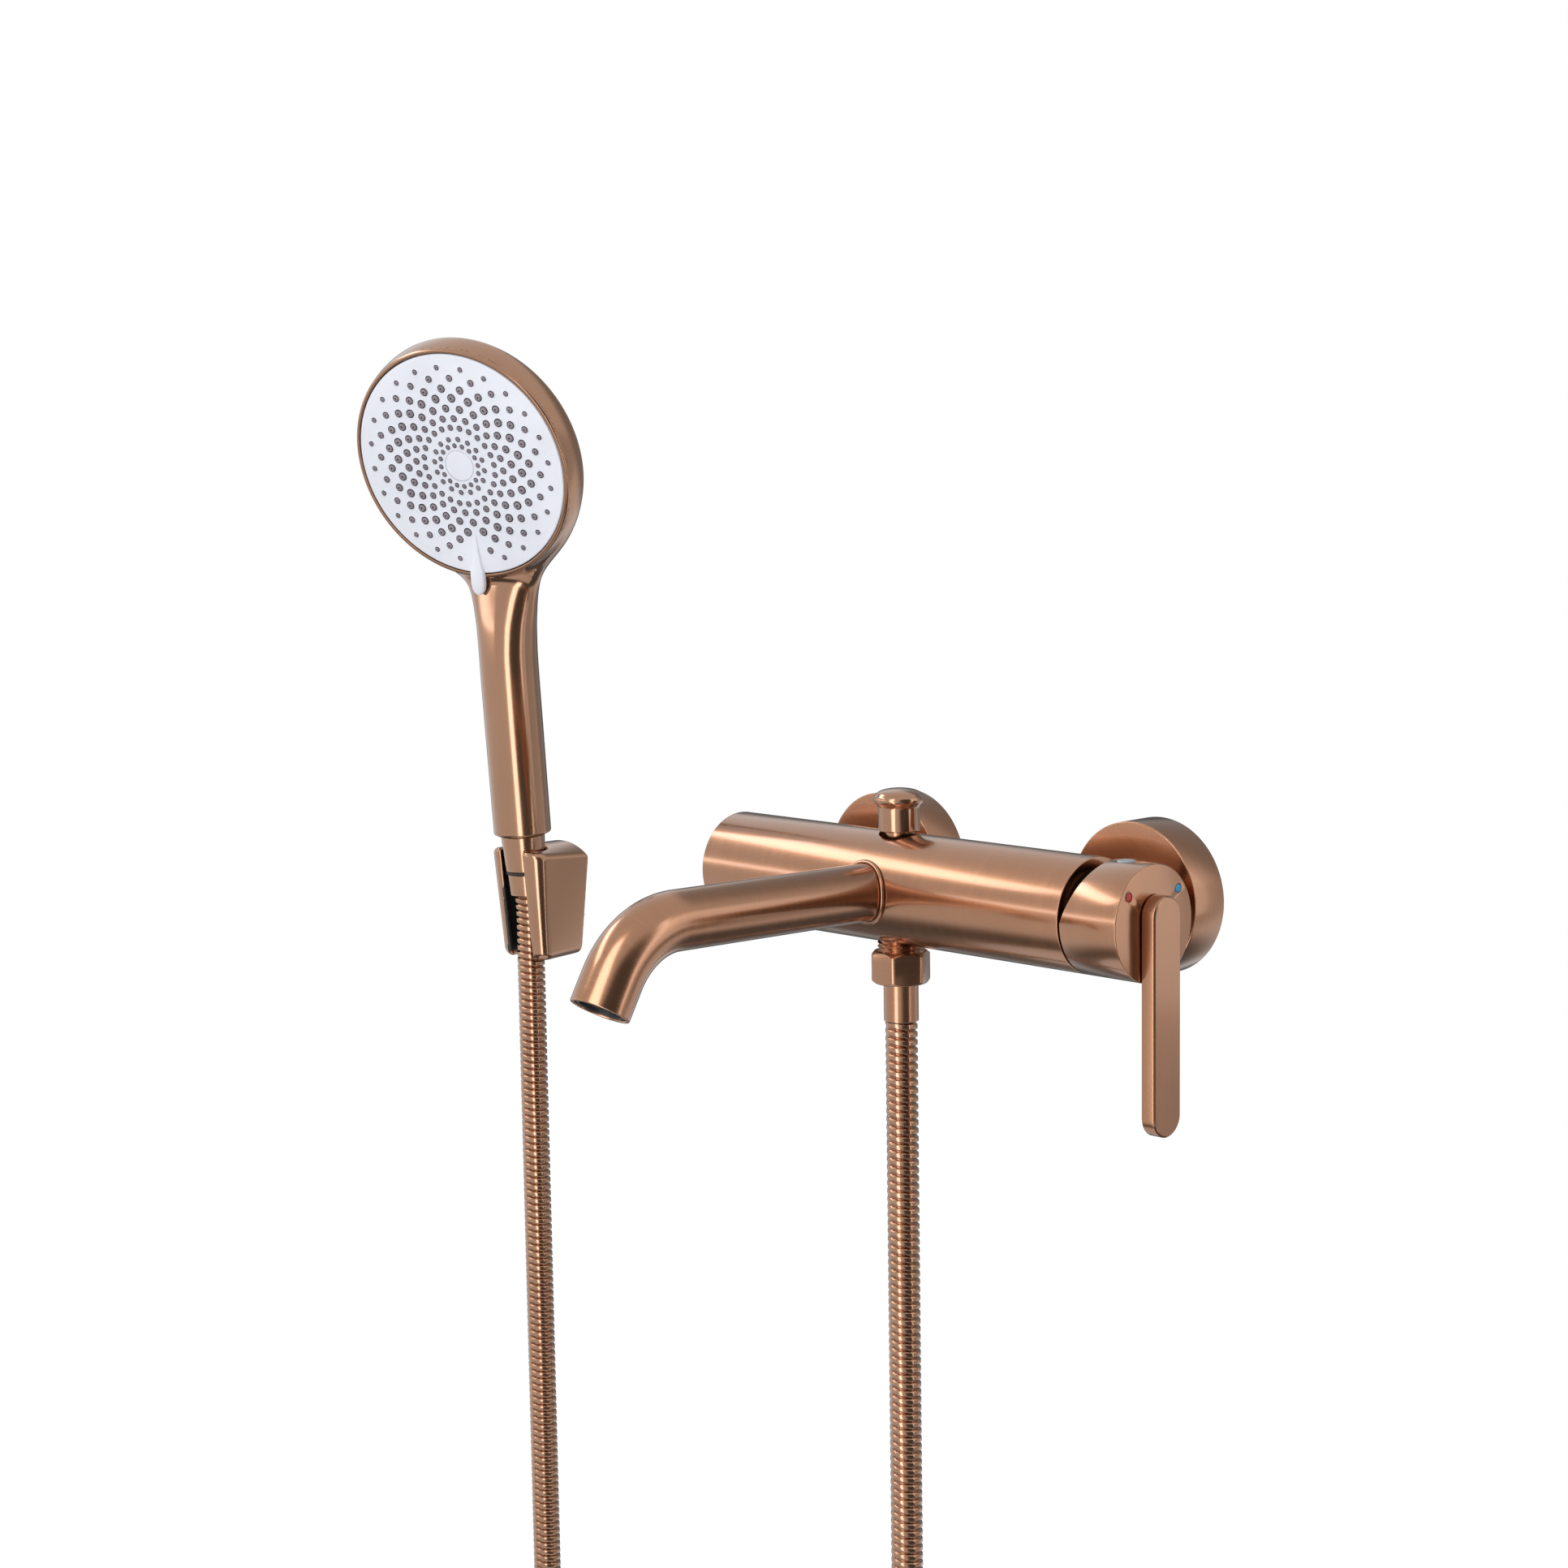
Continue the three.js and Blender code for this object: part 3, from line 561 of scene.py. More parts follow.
def make_hose():
    """Spiral wound cover: a stepped strip that climbs one pitch a turn."""
    line, stops = smooth_line(hose_route(), HOSE_PITCH / 8)
    around = 24
    side = np.array((0.0, 1.0, 0.0))
    tangent = np.gradient(line, axis=0)
    tangent /= np.linalg.norm(tangent, axis=1)[:, None]
    across = np.cross(side, tangent)
    across /= np.linalg.norm(across, axis=1)[:, None]
    other = np.cross(tangent, across)
    angle = np.arange(around) * 2 * pi / around
    phase = (stops[:, None] / HOSE_PITCH + angle[None] / (2 * pi)) % 1
    groove = np.clip(1.6 - np.abs(phase - 0.5) / 0.1, 0, 1)
    radius = HOSE_DIAMETER / 2 - HOSE_GROOVE * groove - 0.12 * np.abs((phase + 0.5) % 1 - 0.5)
    spokes = np.cos(angle)[None, :, None] * across[:, None] + np.sin(angle)[None, :, None] * other[:, None]
    vertices = (line[:, None] + radius[..., None] * spokes).reshape(-1, 3)
    faces = grid_faces(len(line), around)
    faces += end_faces(around, len(vertices))
    hose = tidy(new_object("hose_cover", vertices, faces, place()), 60)
    hose.data.materials.append(POLISHED)
    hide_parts("shower_hose")
    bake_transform(hose)


# ---- mixer body
def make_body():
    low, high = (corner[0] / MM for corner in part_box("mixer_body"))
    bore = BODY_RADIUS - 5
    block = 19  # half length of the solid middle that holds the diverter
    profile = [
        (low, bore),
        (low, BODY_RADIUS),
        (high, BODY_RADIUS),
        (high, bore),
        (VALVE_X + block, bore),
        (VALVE_X + block, 6),
        (VALVE_X - block, 6),
        (VALVE_X - block, bore),
        (low, bore),
    ]
    body = lathe("mixer_body_skin", profile, ALONG_X, 160, 0.45)
    carve(body, lathe("seat", rod_profile(20.8, 30, 9.2), VALVE, 64))
    carve(body, lathe("gland_hole", rod_profile(11, 30, 5.2), VALVE, 48))
    carve(body, lathe("outlet_hole", rod_profile(-30, 12, 10.8), VALVE, 64))
    for side, x in INLET_X.items():
        inlet = place(x, 0, 0, AXIS_Y)
        carve(body, lathe("inlet_hole", rod_profile(-60, -25, 6.5), inlet, 48))
        tail = [(-42.5, 6.5), (-42.5, 9.5), (-31.6, 9.5), (-31.6, 12.6), (-29.6, 12.6), (-29.6, 6.5)]
        tail = lathe(side + "_body_tail", tail + tail[:1], inlet, 64, 0.2)
        copper_piece(tail, round_x, "mixer_body")
    copper_piece(body, round_x, "mixer_body")
    rim = bore - 0.3
    cap = [(low, 0), (low, rim), (low + 9, rim), (low + 9, rim - 3), (low + 3, rim - 3), (low + 3, 0)]
    cap = lathe("end_cap", cap, ALONG_X, 128, 0.35)
    copper_piece(cap, round_x, "body_end_cap")


# ---- wall connections
def make_inlet(side, x):
    inlet = place(x, 0, 0, AXIS_Y)
    front = -FLANGE_DEPTH
    flange = [
        (front, 14.8),
        (front, FLANGE_RADIUS),
        (0, FLANGE_RADIUS),
        (0, FLANGE_RADIUS - 2.8),
        (front + 2.5, FLANGE_RADIUS - 2.8),
        (front + 2.5, 14.8),
        (front, 14.8),
    ]
    cover = lathe(side + "_wall_disc", flange, inlet, 160, 0.6)
    copper_piece(cover, slanted(x), side + "_flange")
    nut = hex_nut(side + "_tail_nut", -34, -20.5, 30, inlet, [(-40, -31, 9.9), (-31.9, -10, 13.5)])
    copper_piece(nut, slanted(x), side + "_union_nut")


# ---- handle
def round_ended(width, bottom, top, inset, steps=24):
    """Outline of a bar with round ends, counted from its top right."""
    radius = width / 2 - inset
    points = []
    for k in range(steps + 1):
        angle = pi * k / steps
        points.append((radius * cos(angle), top - width / 2 + radius * sin(angle)))
    for k in range(steps + 1):
        angle = pi + pi * k / steps
        points.append((radius * cos(angle), bottom + width / 2 + radius * sin(angle)))
    return points


def bar(name, width, bottom, top, rows, matrix):
    """Round ended bar built from rows of (height, inset)."""
    outlines = [(z, round_ended(width, bottom, top, inset)) for z, inset in rows]
    count = len(outlines[0][1])
    vertices = [(x, y, z) for z, outline in outlines for x, y in outline]
    faces = grid_faces(len(rows), count) + end_faces(count, len(vertices))
    return tidy(new_object(name, vertices, faces, matrix), 20)


def make_lever_head():
    face_x = middle("hot_dot").x / MM + 0.27
    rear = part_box("handle_head")[0][0] / MM
    cup = [
        (rear - 3, BODY_RADIUS - 3.2),
        (rear - 3, BODY_RADIUS),
        (face_x, BODY_RADIUS),
        (face_x, 0),
        (face_x - 6, 0),
        (face_x - 6, BODY_RADIUS - 3.2),
        (rear - 3, BODY_RADIUS - 3.2),
    ]
    head = lathe("lever_head", rounded(cup, 0.5), ALONG_X, 160)
    reach = 40
    lean = reach * tan(radians(JOINTS["flow_tilt"]["range_deg"][1]))
    wedge = [(rear - 20, -reach), (rear, -reach), (rear, 0), (rear + lean, reach), (rear - 20, reach)]
    sideways = place(0, -WALL_TO_AXIS, 0, Matrix.Rotation(pi / 2, 3, "X"))
    carve(head, prism("wedge", wedge, -reach, reach, sideways))
    carve(head, lathe("plug_hole", rod_profile(20, 28, 4.4), place(PLUG_X, -WALL_TO_AXIS, 0), 48))
    for y in (-16, 16):
        dot = place(0, y - WALL_TO_AXIS, 13, AXIS_X)
        carve(head, lathe("dot_hole", rod_profile(face_x - 0.9, face_x + 1, 2.1), dot, 48))
    soften(head, 0.25)

    def head_lines(x, y, z):
        """Upright on the end face, and round the axis elsewhere."""
        return tuple(np.where(x > face_x - 0.3, (z, 0 * x, y), round_x(x, y, z)))

    copper_piece(head, head_lines, "handle_head", "handle")
    boss = lathe("head_boss", rod_profile(99, face_x - 5.9, 10, 5.7), ALONG_X, 64, 0.3)
    copper_piece(boss, round_x, "handle_head", "handle")


def make_lever():
    low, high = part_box("lever")
    standing = Matrix(((0, 0, 1), (1, 0, 0), (0, 1, 0)))
    rows = [(0, 0.5), (0.25, 0.13), (0.5, 0), (6.15, 0), (6.35, 0.06), (6.9, 0.62), (7.0, 0.85)]
    lever = bar(
        "lever_bar",
        (high[1] - low[1]) / MM,
        low[2] / MM,
        high[2] / MM,
        rows,
        place(low[0] / MM, -WALL_TO_AXIS, 0, standing),
    )
    copper_piece(lever, upright, "lever", "handle")


def make_handle_trim():
    plug = [(21.1, 0), (21.1, 4.1), (24.9, 4.1), (25.35, 3.3), (25.5, 1.6), (25.5, 0)]
    plug = lathe("plug_cap", plug, place(PLUG_X, -WALL_TO_AXIS, 0), 48, 0.3)
    finish_piece(plug, GREY, "handle", "grey_plastic", "screw_plug")
    for node, material, slot in (("hot_dot", RED, "hot_red"), ("cold_dot", BLUE, "cold_blue")):
        spot = middle(node) / MM
        shape = [(-0.42, 0), (-0.42, 1.8), (0.3, 1.8), (0.42, 1.2), (0.45, 0)]
        inlay = lathe(node + "_inlay", shape, place(*spot, AXIS_X), 48, 0.15)
        finish_piece(inlay, material, "handle", slot, node)


# ---- spout
def spout_point(x, up, along):
    """Straight tube coordinates to the bent spout's frame."""
    angle = min(max((along - SPOUT_STRAIGHT) / SPOUT_BEND_RADIUS, 0), SPOUT_BEND)
    tail = max(0, along - SPOUT_STRAIGHT - SPOUT_BEND_RADIUS * SPOUT_BEND)
    radius = SPOUT_BEND_RADIUS + up
    forward = min(along, SPOUT_STRAIGHT) + radius * sin(angle) + tail * cos(angle)
    return x, -forward, radius * cos(angle) - SPOUT_BEND_RADIUS - tail * sin(angle)


def make_spout():
    """Bent tube that starts on the body's round surface: None stands for that start."""
    around = 96
    stops = [60, 100, SPOUT_STRAIGHT - 4]
    stops += [SPOUT_STRAIGHT + SPOUT_BEND_RADIUS * SPOUT_BEND * k / 28 for k in range(29)]
    end = SPOUT_LENGTH
    rim = [(end - 6, SPOUT_RADIUS), (end, SPOUT_RADIUS), (end, SPOUT_BORE), (end - 6, SPOUT_BORE)]
    rim = rounded(rim, 0.5)
    rows = [(None, SPOUT_RADIUS)] + [(s, SPOUT_RADIUS) for s in stops]
    rows += [tuple(p) for p in rim] + [(s, SPOUT_BORE) for s in reversed(stops)] + [(None, SPOUT_BORE)]
    rows.append(rows[0])
    vertices, lines = [], []
    for along, radius in rows:
        for j in range(around):
            angle = 2 * pi * j / around
            x, up = radius * sin(angle), radius * cos(angle)
            reach = sqrt((BODY_RADIUS + 0.3) ** 2 - up * up) if along is None else along
            vertices.append(spout_point(x, up, reach))
            lines.append((x, up, reach))
    tube = new_object("spout_tube", vertices, grid_faces(len(rows), around), SPOUT)
    attribute = tube.data.attributes.new("brush", "FLOAT_VECTOR", "POINT")
    attribute.data.foreach_set("vector", [value for line in lines for value in line])
    tidy(tube)
    finish_piece(tube, COPPER, "faucet", "brushed_copper", "spout")


def make_spout_ring():
    """Thin bead round the spout's foot, on the body's round surface."""
    around = 96
    bead, path = 0.75, SPOUT_RADIUS + 0.85
    vertices = []
    for j in range(around):
        angle = 2 * pi * j / around
        for k in range(12):
            turn = 2 * pi * k / 12
            radius = path + bead * cos(turn)
            x, up = radius * sin(angle), radius * cos(angle)
            reach = sqrt((BODY_RADIUS + 0.85) ** 2 - up * up) + bead * sin(turn)
            vertices.append((x, -reach, up))
    faces = []
    for j in range(around):
        for k in range(12):
            i, n = (j + 1) % around, (k + 1) % 12
            faces.append((j * 12 + k, j * 12 + n, i * 12 + n, i * 12 + k))
    collar = tidy(new_object("spout_collar", vertices, faces, SPOUT), 60)
    copper_piece(collar, round_x, "spout_ring")


def make_aerator():
    """Black insert with a fine honeycomb in the spout's mouth."""
    direction = Matrix.Rotation(pi / 2 + SPOUT_BEND, 3, "X")
    tip = Vector(spout_point(0, 0, SPOUT_LENGTH))
    mouth = SPOUT @ Matrix.Translation(tip) @ direction.to_4x4()
    housing = [(-10, 9.2), (-10, 10.8), (-0.9, 10.8), (-0.6, 10.4), (-0.6, 9.2), (-10, 9.2)]
    housing = lathe("aerator_ring", housing, mouth, 96, 0.2)
    finish_piece(housing, BLACK, "faucet", "black_plastic", "aerator_housing")
    cell, vertices, faces = 1.5, [], []
    for row in range(-7, 8):
        for column in range(-7, 8):
            x = cell * sqrt(3) * (column + 0.5 * (row % 2))
            y = cell * 1.5 * row
            if hypot(x, y) > 8.6:
                continue
            first = len(vertices)
            for k in range(6):
                angle = pi / 6 + k * pi / 3
                vertices.append((x + cell * cos(angle), y + cell * sin(angle), -2.4))
            faces.append(tuple(range(first, first + 6)))
    comb = new_object("aerator_comb", vertices, faces, mouth)
    work = bmesh.new()
    work.from_mesh(comb.data)
    bmesh.ops.remove_doubles(work, verts=work.verts, dist=2e-5)
    work.to_mesh(comb.data)
    work.free()
    wires = comb.modifiers.new("wires", "WIREFRAME")
    wires.thickness = 0.4 * MM
    wires.use_boundary = True
    apply_modifiers(comb)
    finish_piece(comb, BLACK, "faucet", "black_plastic", "aerator_screen")
    floor = lathe("aerator_floor", rod_profile(-7, -3.4, 9.1), mouth, 64, 0.3)
    finish_piece(floor, BLACK, "faucet", "black_plastic", "aerator_screen")


# ---- diverter
def make_diverter():
    low, high = (corner[2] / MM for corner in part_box("diverter_gland"))
    stem = [(low, 2.6), (low, 4.9), (21.1, 4.9), (21.1, 6.5), (high, 6.5), (high, 2.6), (low, 2.6)]
    gland = lathe("gland_collar", stem, VALVE, 96, 0.3)
    copper_piece(gland, round_valve, "diverter_gland")
    inside = [(KNOB_TOP - 8, 0), (KNOB_TOP - 8, 2.5), (33, 2.5), (33, 7.9), (25.8, 7.9), (25.8, 9.35)]
    neck = [(36.3, 9.35), (37.0, 9.55), (37.8, 10.3), (38.7, 11.0), (39.9, 11.35)]
    rim = [(41.1, 11.1), (41.8, 10.5)]
    dome = []
    for k in range(1, 13):
        angle = pi / 2 * k / 12
        dome.append((42 + (KNOB_TOP - 42) * sin(angle), 10.1 * cos(angle)))
    knob = lathe("pull_knob", rounded(inside + neck + rim + dome, 0.6), VALVE, 160, 0, 50)
    finish_piece(brush(knob, round_valve), POLISHED, "diverter", "brushed_copper", "diverter_knob")


# ---- shower outlet
def make_outlet():
    around, pitch, low, high = 96, 1.814, -38, -19
    count = 140
    vertices = []
    for i in range(count + 1):
        z = low + (high - low) * i / count
        for j in range(around):
            angle = 2 * pi * j / around
            phase = ((z - low) / pitch + j / around) % 1
            radius = 10.4 - 1.05 * (1 - abs(2 * phase - 1)) if z < high - 1.2 else 10.4
            vertices.append((radius * cos(angle), radius * sin(angle), z))
    vertices += ring(6.2, high, around) + ring(6.2, low, around)
    rows = count + 3
    faces = grid_faces(rows, around)
    last = (rows - 1) * around
    faces += [(last + j, last + (j + 1) % around, (j + 1) % around, j) for j in range(around)]
    nipple = tidy(new_object("outlet_thread", vertices, faces, VALVE), 50)
    copper_piece(nipple, round_valve, "shower_outlet")
    bore = [(-45, -41, 8.2), (-41.9, -20, 10.8)]
    nut = hex_nut("outlet_nut", -43, -28.6, 24, VALVE, bore, radians(-2.4), 1.6)
    copper_piece(nut, round_valve, "hose_nut")
    sleeve = [(-60.6, 4.8), (-60.6, 7.85), (-41.6, 7.85), (-41.6, 10), (-40.6, 10), (-40.6, 4.8)]
    sleeve = lathe("outlet_sleeve", sleeve + sleeve[:1], VALVE, 96, 0.6)
    copper_piece(sleeve, round_valve, "hose_ferrule")


# ---- smooth solids
def meet(one, two, radius):
    """Both at once, with the shared edge rounded."""
    outside = np.hypot(np.maximum(one + radius, 0), np.maximum(two + radius, 0))
    return outside + np.minimum(np.maximum(one, two), -radius)


def melt(one, two, reach):
    """Either one, with a smooth fillet between them."""
    mix = np.clip(0.5 + 0.5 * (two - one) / reach, 0, 1)
    return two * (1 - mix) + one * mix - reach * mix * (1 - mix)


def field_slope(field, points):
    step = 0.02
    shifts = np.eye(3) * step
    return np.stack([(field(points + s) - field(points - s)) / (2 * step) for s in shifts], 1)


def from_field(name, node, field, matrix, voxel, fillers=()):
    """Remeshes a CAD node finely and draws it onto the surface where the field is zero.
    Fillers are solids that first close its hidden bores and hollows."""
    mesh = frame["nodes"][node].data.copy()
    work = bmesh.new()
    work.from_mesh(mesh)
    for filler in fillers:
        work.from_mesh(filler.data)
        bpy.data.objects.remove(filler)
    work.to_mesh(mesh)
    work.free()
    thing = bpy.data.objects.new(name, mesh)
    bpy.context.scene.collection.objects.link(thing)
    remesh = thing.modifiers.new("remesh", "REMESH")
    remesh.mode = "VOXEL"
    remesh.voxel_size = voxel * MM
    even_out = thing.modifiers.new("even_out", "SMOOTH")
    even_out.factor, even_out.iterations = 0.5, 10
    apply_modifiers(thing)
    mesh = thing.data
    inverse, forward = np.array(matrix.inverted()), np.array(matrix)
    co = np.empty(len(mesh.vertices) * 3)
    mesh.vertices.foreach_get("co", co)
    local = co.reshape(-1, 3) @ inverse[:3, :3].T + inverse[:3, 3]
    for _ in range(12):
        gradient = field_slope(field, local)
        value = field(local)
        size = np.maximum((gradient**2).sum(1), 0.05)
        move = gradient * (value / size)[:, None]
        length = np.linalg.norm(move, axis=1)
        move *= np.minimum(1, 1.5 / np.maximum(length, 1e-9))[:, None]
        local -= move
    gradient = field_slope(field, local)
    mesh.vertices.foreach_set("co", (local @ forward[:3, :3].T + forward[:3, 3]).ravel())
    normals = gradient @ forward[:3, :3].T
    normals /= np.linalg.norm(normals, axis=1)[:, None]
    mesh.shade_smooth()
    mesh.normals_split_custom_set_from_vertices(normals.tolist())
    return thing


def polygon_distance(along, radius, profile):
    """Signed distance to a closed profile of (along, radius) points, below zero inside."""
    best = np.full(along.shape, 1e9)
    inside = np.zeros(along.shape, bool)
    for (a0, r0), (a1, r1) in zip(profile, profile[1:] + profile[:1]):
        da, dr = a1 - a0, r1 - r0
        t = np.clip(((along - a0) * da + (radius - r0) * dr) / (da * da + dr * dr), 0, 1)
        best = np.minimum(best, np.hypot(along - a0 - t * da, radius - r0 - t * dr))
        crosses = (r0 > radius) != (r1 > radius)
        where = a0 + (radius - r0) * da / (dr if abs(dr) > 1e-12 else 1e-12)
        inside ^= crosses & (along < where)
    return np.where(inside, -best, best)


def smooth_step(value, low, high):
    t = np.clip((value - low) / (high - low), 0, 1)
    return t * t * (3 - 2 * t)


# ---- hand shower
def dome_outline(steps=72):
    """Outside of the round head as (depth, radius) points: a flared rim and a rounded back."""
    points = []
    for k in range(steps + 1):
        angle = pi / 2 * k / steps
        points.append((-12.5 - 17 * cos(angle), HEAD_RADIUS * sin(angle)))
    for k in range(1, 13):
        t = k / 12
        points.append((-12.5 + 12 * t, HEAD_RADIUS - RIM_DRAW * t * t))
    return points + [(-0.1, HEAD_RADIUS - RIM_DRAW - 0.6), (-0.1, 0.0)]


def shell_field():
    """The handle, its neck and the round head as one field, in the handle's frame."""
    to_face = np.array((HANDLE.inverted() @ FACE).inverted())
    outline = dome_outline()
    stations = [
        # height, half width, half depth
        (0, HANDLE_RADIUS, HANDLE_RADIUS), (60, 15.3, 15.3), (97, 15.4, 15.2), (111, 16.2, 14.6),
        (125, 18.4, 13.2), (132, 20.4, 12.4), (139, 23.2, 11.8), (146.5, 27, 11.4), (154, 31, 11),
        (170, 34, 10), (190, 30, 8),
    ]
    heights, widths, depths = np.array(stations).T
    height_steps = np.linspace(0, 190, 381)
    kernel = np.hanning(33) / np.hanning(33).sum()

    def softly(values):
        """The values at every height step, with no kinks at the stations."""
        padded = np.pad(np.interp(height_steps, heights, values), 16, "edge")
        return np.convolve(padded, kernel, "valid")

    wide, deep = softly(widths), softly(depths)

    def field(points):
        x, y, z = points.T
        neck = smooth_step(z, 80, 145)
        width = np.interp(z, height_steps, wide)
        depth = np.interp(z, height_steps, deep)
        tube = (np.hypot(x / width, (y - 2 * neck) / depth) - 1) * np.minimum(width, depth)
        handle = meet(meet(tube, -z, 1.3), z - 182, 6)
        face = points @ to_face[:3, :3].T + to_face[:3, 3]
        radius = np.hypot(face[:, 0], face[:, 1])
        head = polygon_distance(face[:, 2], radius, outline)
        solid = melt(handle, head, 3 + 9 * np.clip(-face[:, 2] / 8, 0, 1))
        recess = np.maximum(radius - (FACE_RADIUS + 0.5), -face[:, 2] - 8)
        front = np.maximum(radius - (HEAD_RADIUS - RIM_DRAW + 0.4), -(face[:, 2] + 1.4))
        return meet(meet(solid, -recess, 0.6), -front, 0.3)

    return field


def make_rim():
    """Thin turned lip between the shell and the face plate."""
    outer = HEAD_RADIUS - RIM_DRAW
    profile = [(-4, FACE_RADIUS + 0.3), (-0.1, FACE_RADIUS + 0.3), (-0.1, outer - 0.4), (-0.7, outer + 0.1)]
    profile += [(-1.6, outer + 0.4), (-4, outer + 0.2)]
    rim = lathe("head_rim", rounded(profile + profile[:1], 0.3), FACE, 256, 0, 40)
    finish_piece(rim, POLISHED, "hand_shower", "plated_plastic", "shower_shell")


def nozzle_rings():
    """(distance from the middle, count, offset in steps, nozzle radius) of each ring."""
    rings = [(11.0, 16, 0.0, 1.3), (14.5, 16, 0.5, 1.4)]
    for k, (radius, size) in enumerate((
        (20.6, 1.6), (25.5, 1.85), (30.8, 2.1), (36.3, 2.3), (41.2, 2.15), (46.8, 1.85), (52.2, 1.4),
    )):
        rings.append((radius, 24, 0.5 * (k % 2), size))
    return rings


def make_face():
    edge = FACE_RADIUS - 0.2
    plate = [(-4, 0), (-4, edge), (-0.5, edge), (0.0, edge - 0.5), (0.35, 52), (0.7, 34), (0.95, 12), (1, 0)]
    plate = lathe("spray_plate", plate, FACE, 192, 0.4)
    carve(plate, lathe("inlay_seat", rod_profile(0.45, 4, 8.3), FACE, 96))
    finish_piece(plate, WHITE, "spray_selector", "white_plastic", "spray_face")

    spots = []
    for reach, count, offset, size in nozzle_rings():
        for k in range(count):
            angle = pi / 2 - 2 * pi * (k + offset) / count
            x, y = reach * cos(angle), reach * sin(angle)
            if abs(x + 3) < 5.5 and y < -39:
                continue
            z = 0.95 - 0.6 * (reach / 52) ** 2
            spots.append((x, y, z, size))
    rim = [(-0.3, 1.0), (0.14, 1.02), (0.24, 1.1), (0.18, 1.22), (-0.25, 1.36)]
    groove = [(0.14, 1.01), (0.1, 0.9), (0.12, 0.74)]
    cone = [(-0.25, 0.8), (0.15, 0.78), (0.6, 0.7), (0.85, 0.62), (0.95, 0.5), (0.93, 0.27), (0.7, 0.24)]
    tip = [(0.88, 0.29), (0.7, 0.26), (0.68, 0.0)]
    rims = many_lathes("nozzle_rims", rim, spots, 20)
    finish_piece(rims, WHITE, "spray_selector", "white_plastic", "spray_face")
    # the groove rings and the tip discs are near black: painted shade in the recess round each nozzle and in
    # its hole
    grooves = many_lathes("nozzle_grooves", groove, spots, 18)
    finish_piece(grooves, NOZZLE_SHADE, "spray_selector", "nozzle_rubber", "nozzle_mat")
    cones = many_lathes("nozzles", cone, spots, 18)
    finish_piece(cones, SILICONE, "spray_selector", "nozzle_rubber", "nozzle_mat")
    tips = many_lathes("nozzle_tips", tip, spots, 12)
    finish_piece(tips, NOZZLE_SHADE, "spray_selector", "nozzle_rubber", "nozzle_mat")

    inlay = [(0.5, 0), (0.5, 8.05), (1.0, 8.05), (1.2, 7.6), (1.3, 0)]
    inlay = lathe("middle_inlay", inlay, FACE, 96, 0.2)
    finish_piece(inlay, WHITE, "spray_selector", "white_plastic", "face_inlay")
    make_tab()


def many_lathes(name, profile, spots, around):
    """One mesh of small turned shapes: profile radii are in parts of each spot's size."""
    vertices, faces = [], []
    for x, y, z, size in spots:
        first = len(vertices)
        for along, radius in profile:
            vertices += ring(size * radius, z + along, around, x, y)
        faces += [tuple(first + i for i in face) for face in grid_faces(len(profile), around)]
    return tidy(new_object(name, vertices, faces, FACE), 50)


def make_tab():
    """Selector tab: a ridge that rises from the face, widens to the edge and ends in a round finger."""
    stations = [
        # distance along the ridge, half width, height of the crown
        (0, 0.4, 0.95), (4, 0.9, 1.15), (9, 1.6, 1.6), (14, 2.4, 2.1), (18.5, 3.3, 2.5), (21, 4.0, 2.7),
        (23.5, 4.15, 2.75), (28, 4.1, 2.75), (31.2, 3.6, 2.65), (33, 2.7, 2.4), (34, 1.4, 2.0),
    ]
    across = 16
    vertices = []
    for along, half, crown in stations:
        low = -0.25 if along > 21 else 0.1
        for k in range(across + 1):
            angle = pi * k / across
            x = half * copysign(abs(cos(angle)) ** 0.6, cos(angle))
            z = low + (crown - low) * sin(angle) ** 0.6
            vertices.append((x, -along, z))
        vertices.append((0, -along, low))
    around = across + 2
    faces = grid_faces(len(stations), around) + end_faces(around, len(vertices))
    ridge = FACE @ Matrix.Translation((*TAB_START, 0)) @ Matrix.Rotation(-TAB_TURN, 4, "Z")
    tab = tidy(new_object("selector_tab", vertices, faces, ridge), 60)
    finish_piece(tab, WHITE, "spray_selector", "white_plastic", "spray_face")


def make_shower():
    hollow = [(-25, 0), (-24, 25), (-20.5, 45), (-15, 56), (-9, 60.3), (-8.2, 60.3), (-8.2, 0)]
    fillers = (
        lathe("bore_filler", rod_profile(0.6, 150, 9.2), HANDLE),
        lathe("bowl_filler", hollow, FACE),
    )
    shell = from_field("shower_skin", "shower_shell", shell_field(), HANDLE, 1.0, fillers)
    finish_piece(shell, POLISHED, "hand_shower", "plated_plastic", "shower_shell")
    make_rim()
    make_face()
    nut = [
        (-19.6, 7), (-19.6, 10.4), (-0.9, 11.6), (-0.9, 10.6), (-13.2, 10.6), (-13.2, 10.1),
        (-15.4, 10.1), (-15.4, 8.6), (-17, 8.6), (-17, 7), (-19.6, 7),
    ]
    nut = lathe("hose_cone_nut", nut, HANDLE, 96, 0.4)
    finish_piece(nut, POLISHED, "hand_shower", "polished_copper", "cone_nut")
    seal = lathe("cone_nut_seal", rod_profile(-21.1, -19.9, 10.3, 7), HANDLE, 96, 0.3)
    finish_piece(seal, RUBBER, "hand_shower", "rubber", "cone_nut_ring")
    sleeve = [
        (-32.6, 4.6), (-32.6, 9.2), (-21.4, 9.7), (-21.4, 6.6), (-16.6, 6.6), (-16.6, 8.2),
        (-15.5, 8.2), (-15.5, 4.6), (-32.6, 4.6),
    ]
    sleeve = lathe("hose_end_cover", sleeve, LEAN, 96, 0.4)
    finish_piece(sleeve, POLISHED, "hose_end", "polished_copper", "hose_end_sleeve")


